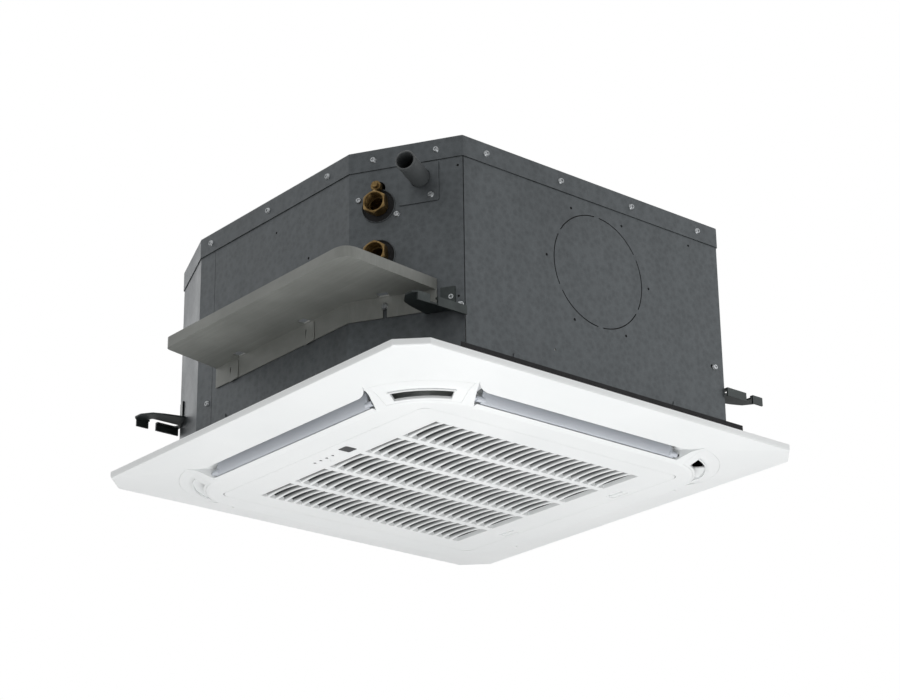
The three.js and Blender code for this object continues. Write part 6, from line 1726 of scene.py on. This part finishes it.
def leaning(x, z):
    """Where a leaning slat or slot that starts at x on the door's face is at a height."""
    return x - SLAT_LEAN / SLAT_DEPTH * (z - DOOR_FACE)


def grille_slat():
    """One leaning slat along Y whose rounded lower edge arches between its ends."""
    half = (SLOT_PITCH - SLOT_WIDTH) / 2
    rings = []
    for i in range(SLAT_STEPS + 1):
        share = 2 * i / SLAT_STEPS - 1
        y = share * (SLOT_LENGTH / 2 + SLAT_OVERLAP)
        low = DOOR_FACE + ARCH_RISE * (1 - share * share)
        shoulder = low + 0.9
        section = [(-half, FIELD_TOP), (-half, shoulder), (-half * 0.5, low + 0.15), (half * 0.5, low + 0.15),
                   (half, shoulder), (half, FIELD_TOP)]
        rings.append([(leaning(x, z), y, z) for x, z in section])
    return loft(rings)


def slat_field():
    """All the slats of the door, one repeated form in columns and rows."""
    slats = in_rows(grille_slat(), SLOT_COLUMNS - 1, SLOT_ROWS, SLOT_PITCH, ROW_PITCH, "blade_white")
    piece(slats, "intake_slats", "fascia_white", ["intake_grille"], "grille_door", finish="blade_white")


def row_window(y):
    """Opening for one row of slats, with leaning ends."""
    half = SLOT_LENGTH / 2
    rings = []
    for z in (DOOR_FACE - OVERRUN, FIELD_TOP + OVERRUN):
        left, right = leaning(-FIELD_HALF_X, z), leaning(FIELD_HALF_X, z)
        rings.append([(left, y - half, z), (right, y - half, z), (right, y + half, z), (left, y + half, z)])
    return loft(rings)


def door_plate():
    rib = DOOR_HALF - DOOR_RIB_INSET
    rib_top = DOOR_TOP + DOOR_RIB_HEIGHT
    inner = rounded_square(rib - DOOR_RIB_WALL, DOOR_RIB_INSET - DOOR_RIB_WALL)
    plate = prism(rounded_square(DOOR_HALF, DOOR_CORNER, 16), DOOR_FACE, DOOR_TOP)
    ring = hollow(rounded_square(rib, DOOR_RIB_INSET), inner, DOOR_FACE + 1, rib_top)
    field = block(-FIELD_HALF_X - SLAT_LEAN - FIELD_MARGIN, FIELD_HALF_X + FIELD_MARGIN,
                  -FIELD_HALF_Y - FIELD_MARGIN, FIELD_HALF_Y + FIELD_MARGIN, DOOR_FACE, FIELD_TOP)
    span = DOOR_HALF - DOOR_CORNER
    hinge = cut(hinge_rod(HINGE_PIN_RADIUS, HINGE_PIN_HALF),
                block(-2 * DOOR_HALF, 0, -span, span, DOOR_FACE - OVERRUN, rib_top))
    return join(plate, ring, field, hinge)


def through_door(outline):
    return prism(outline, DOOR_FACE - OVERRUN, DOOR_TOP + OVERRUN)


def latch_opening(y):
    half = LATCH_LENGTH / 2
    inner = LATCH_EDGE - LATCH_OPENING
    return through_door([(inner, y - half), (LATCH_EDGE, y - half), (LATCH_EDGE, y + half), (inner, y + half)])


def intake_door():
    """The door's skin with its openings, the rails of its latches and a window for each row of slats."""
    cuts = []
    rails = []
    reach = LATCH_LENGTH / 2 + LATCH_FLANGE + RUNNING_GAP
    rib = DOOR_HALF - DOOR_RIB_INSET
    rail_start = LATCH_EDGE - LATCH_OPENING - LATCH_TRAVEL - LATCH_FLANGE
    for y in LATCH_Y:
        cuts.append(latch_opening(y))
        cuts.append(block(rib - 2 * DOOR_RIB_WALL, DOOR_HALF, y - reach, y + reach, DOOR_TOP,
                          DOOR_TOP + DOOR_RIB_HEIGHT + OVERRUN))
        for side in (-1, 1):
            near, far = sorted((y + side * reach, y + side * (reach + RAIL_WALL)))
            rails.append(block(rail_start, rib, near, far, DOOR_TOP - OVERRUN, DOOR_TOP + RAIL_HEIGHT))
    door = join(cut(door_plate(), *cuts), *rails)
    openings = [row_window((i - (SLOT_ROWS - 1) / 2) * ROW_PITCH) for i in range(SLOT_ROWS)]
    openings += [through_door(circle(LAMP_RADIUS + GAP, 24, PANEL_ROW_X, y)) for y in LAMP_Y]
    window = rounded_square(WINDOW_SIZE / 2, WINDOW_CORNER, 6)
    openings.append(through_door([(x + PANEL_ROW_X, y + WINDOW_Y) for x, y in window]))
    openings.append(through_door(circle(BUTTON_RADIUS + RUNNING_GAP, 32, BUTTON_X, BUTTON_Y)))
    piece(cut(door, *openings), "intake_door", "fascia_white", ["intake_grille"], "grille_door", rounding=0.35)


intake_door()
slat_field()


# ---------------------------------------------------------------- screws

def on_wall(place, spots_on_wall, out=0.0):
    """Places and outward directions of points (along, height) on a wall."""
    outward = (place.to_3x3() @ UP).normalized()
    return [(place @ Vector((s, z, out)), outward) for s, z in spots_on_wall]


def casing_screws():
    """Screws through the top cover's edge and the side sheets; their heads seat on the steel."""
    edge = SHEET + GAP
    high = BODY_TOP - SCREW_DROP
    places = on_wall(RIGHT_WALL, [(-165, high), (-43, high), (78, high), (197, high)], edge)
    places += on_wall(LEFT_WALL, [(24, high), (152, high), (278, high)], edge)
    places += on_wall(PIPE_WALL, [(31.7, high), (113, high)], edge)
    places += on_wall(REAR_WALL, [(-110, high), (0, high), (110, high)], edge)
    places += on_wall(FAR_WALL, [(-170, high), (-57, high), (57, high), (170, high)], edge)
    places += on_wall(PIPE_WALL, [(12.5, 236.4), (61.7, 210.5), (130, 92)], 0)
    places += on_wall(PIPE_WALL, [(105.8, 228.4), (74, 264)], SHEET + GAP)
    places += on_wall(LEFT_WALL, [(24, 62.7), (24, 170)], 0)
    places += on_wall(RIGHT_WALL, [(-208, 78.7), (217, 101.7)], 0)
    places += on_wall(PIPE_WALL, [(46.7, 91.7)], APRON_WALL + GAP)
    add_screws("casing_screws", places)


casing_screws()


# ---------------------------------------------------------------- scene

bpy.context.scene.view_settings.view_transform = "Standard"
add_camera()
add_light()
add_world()
add_floor()
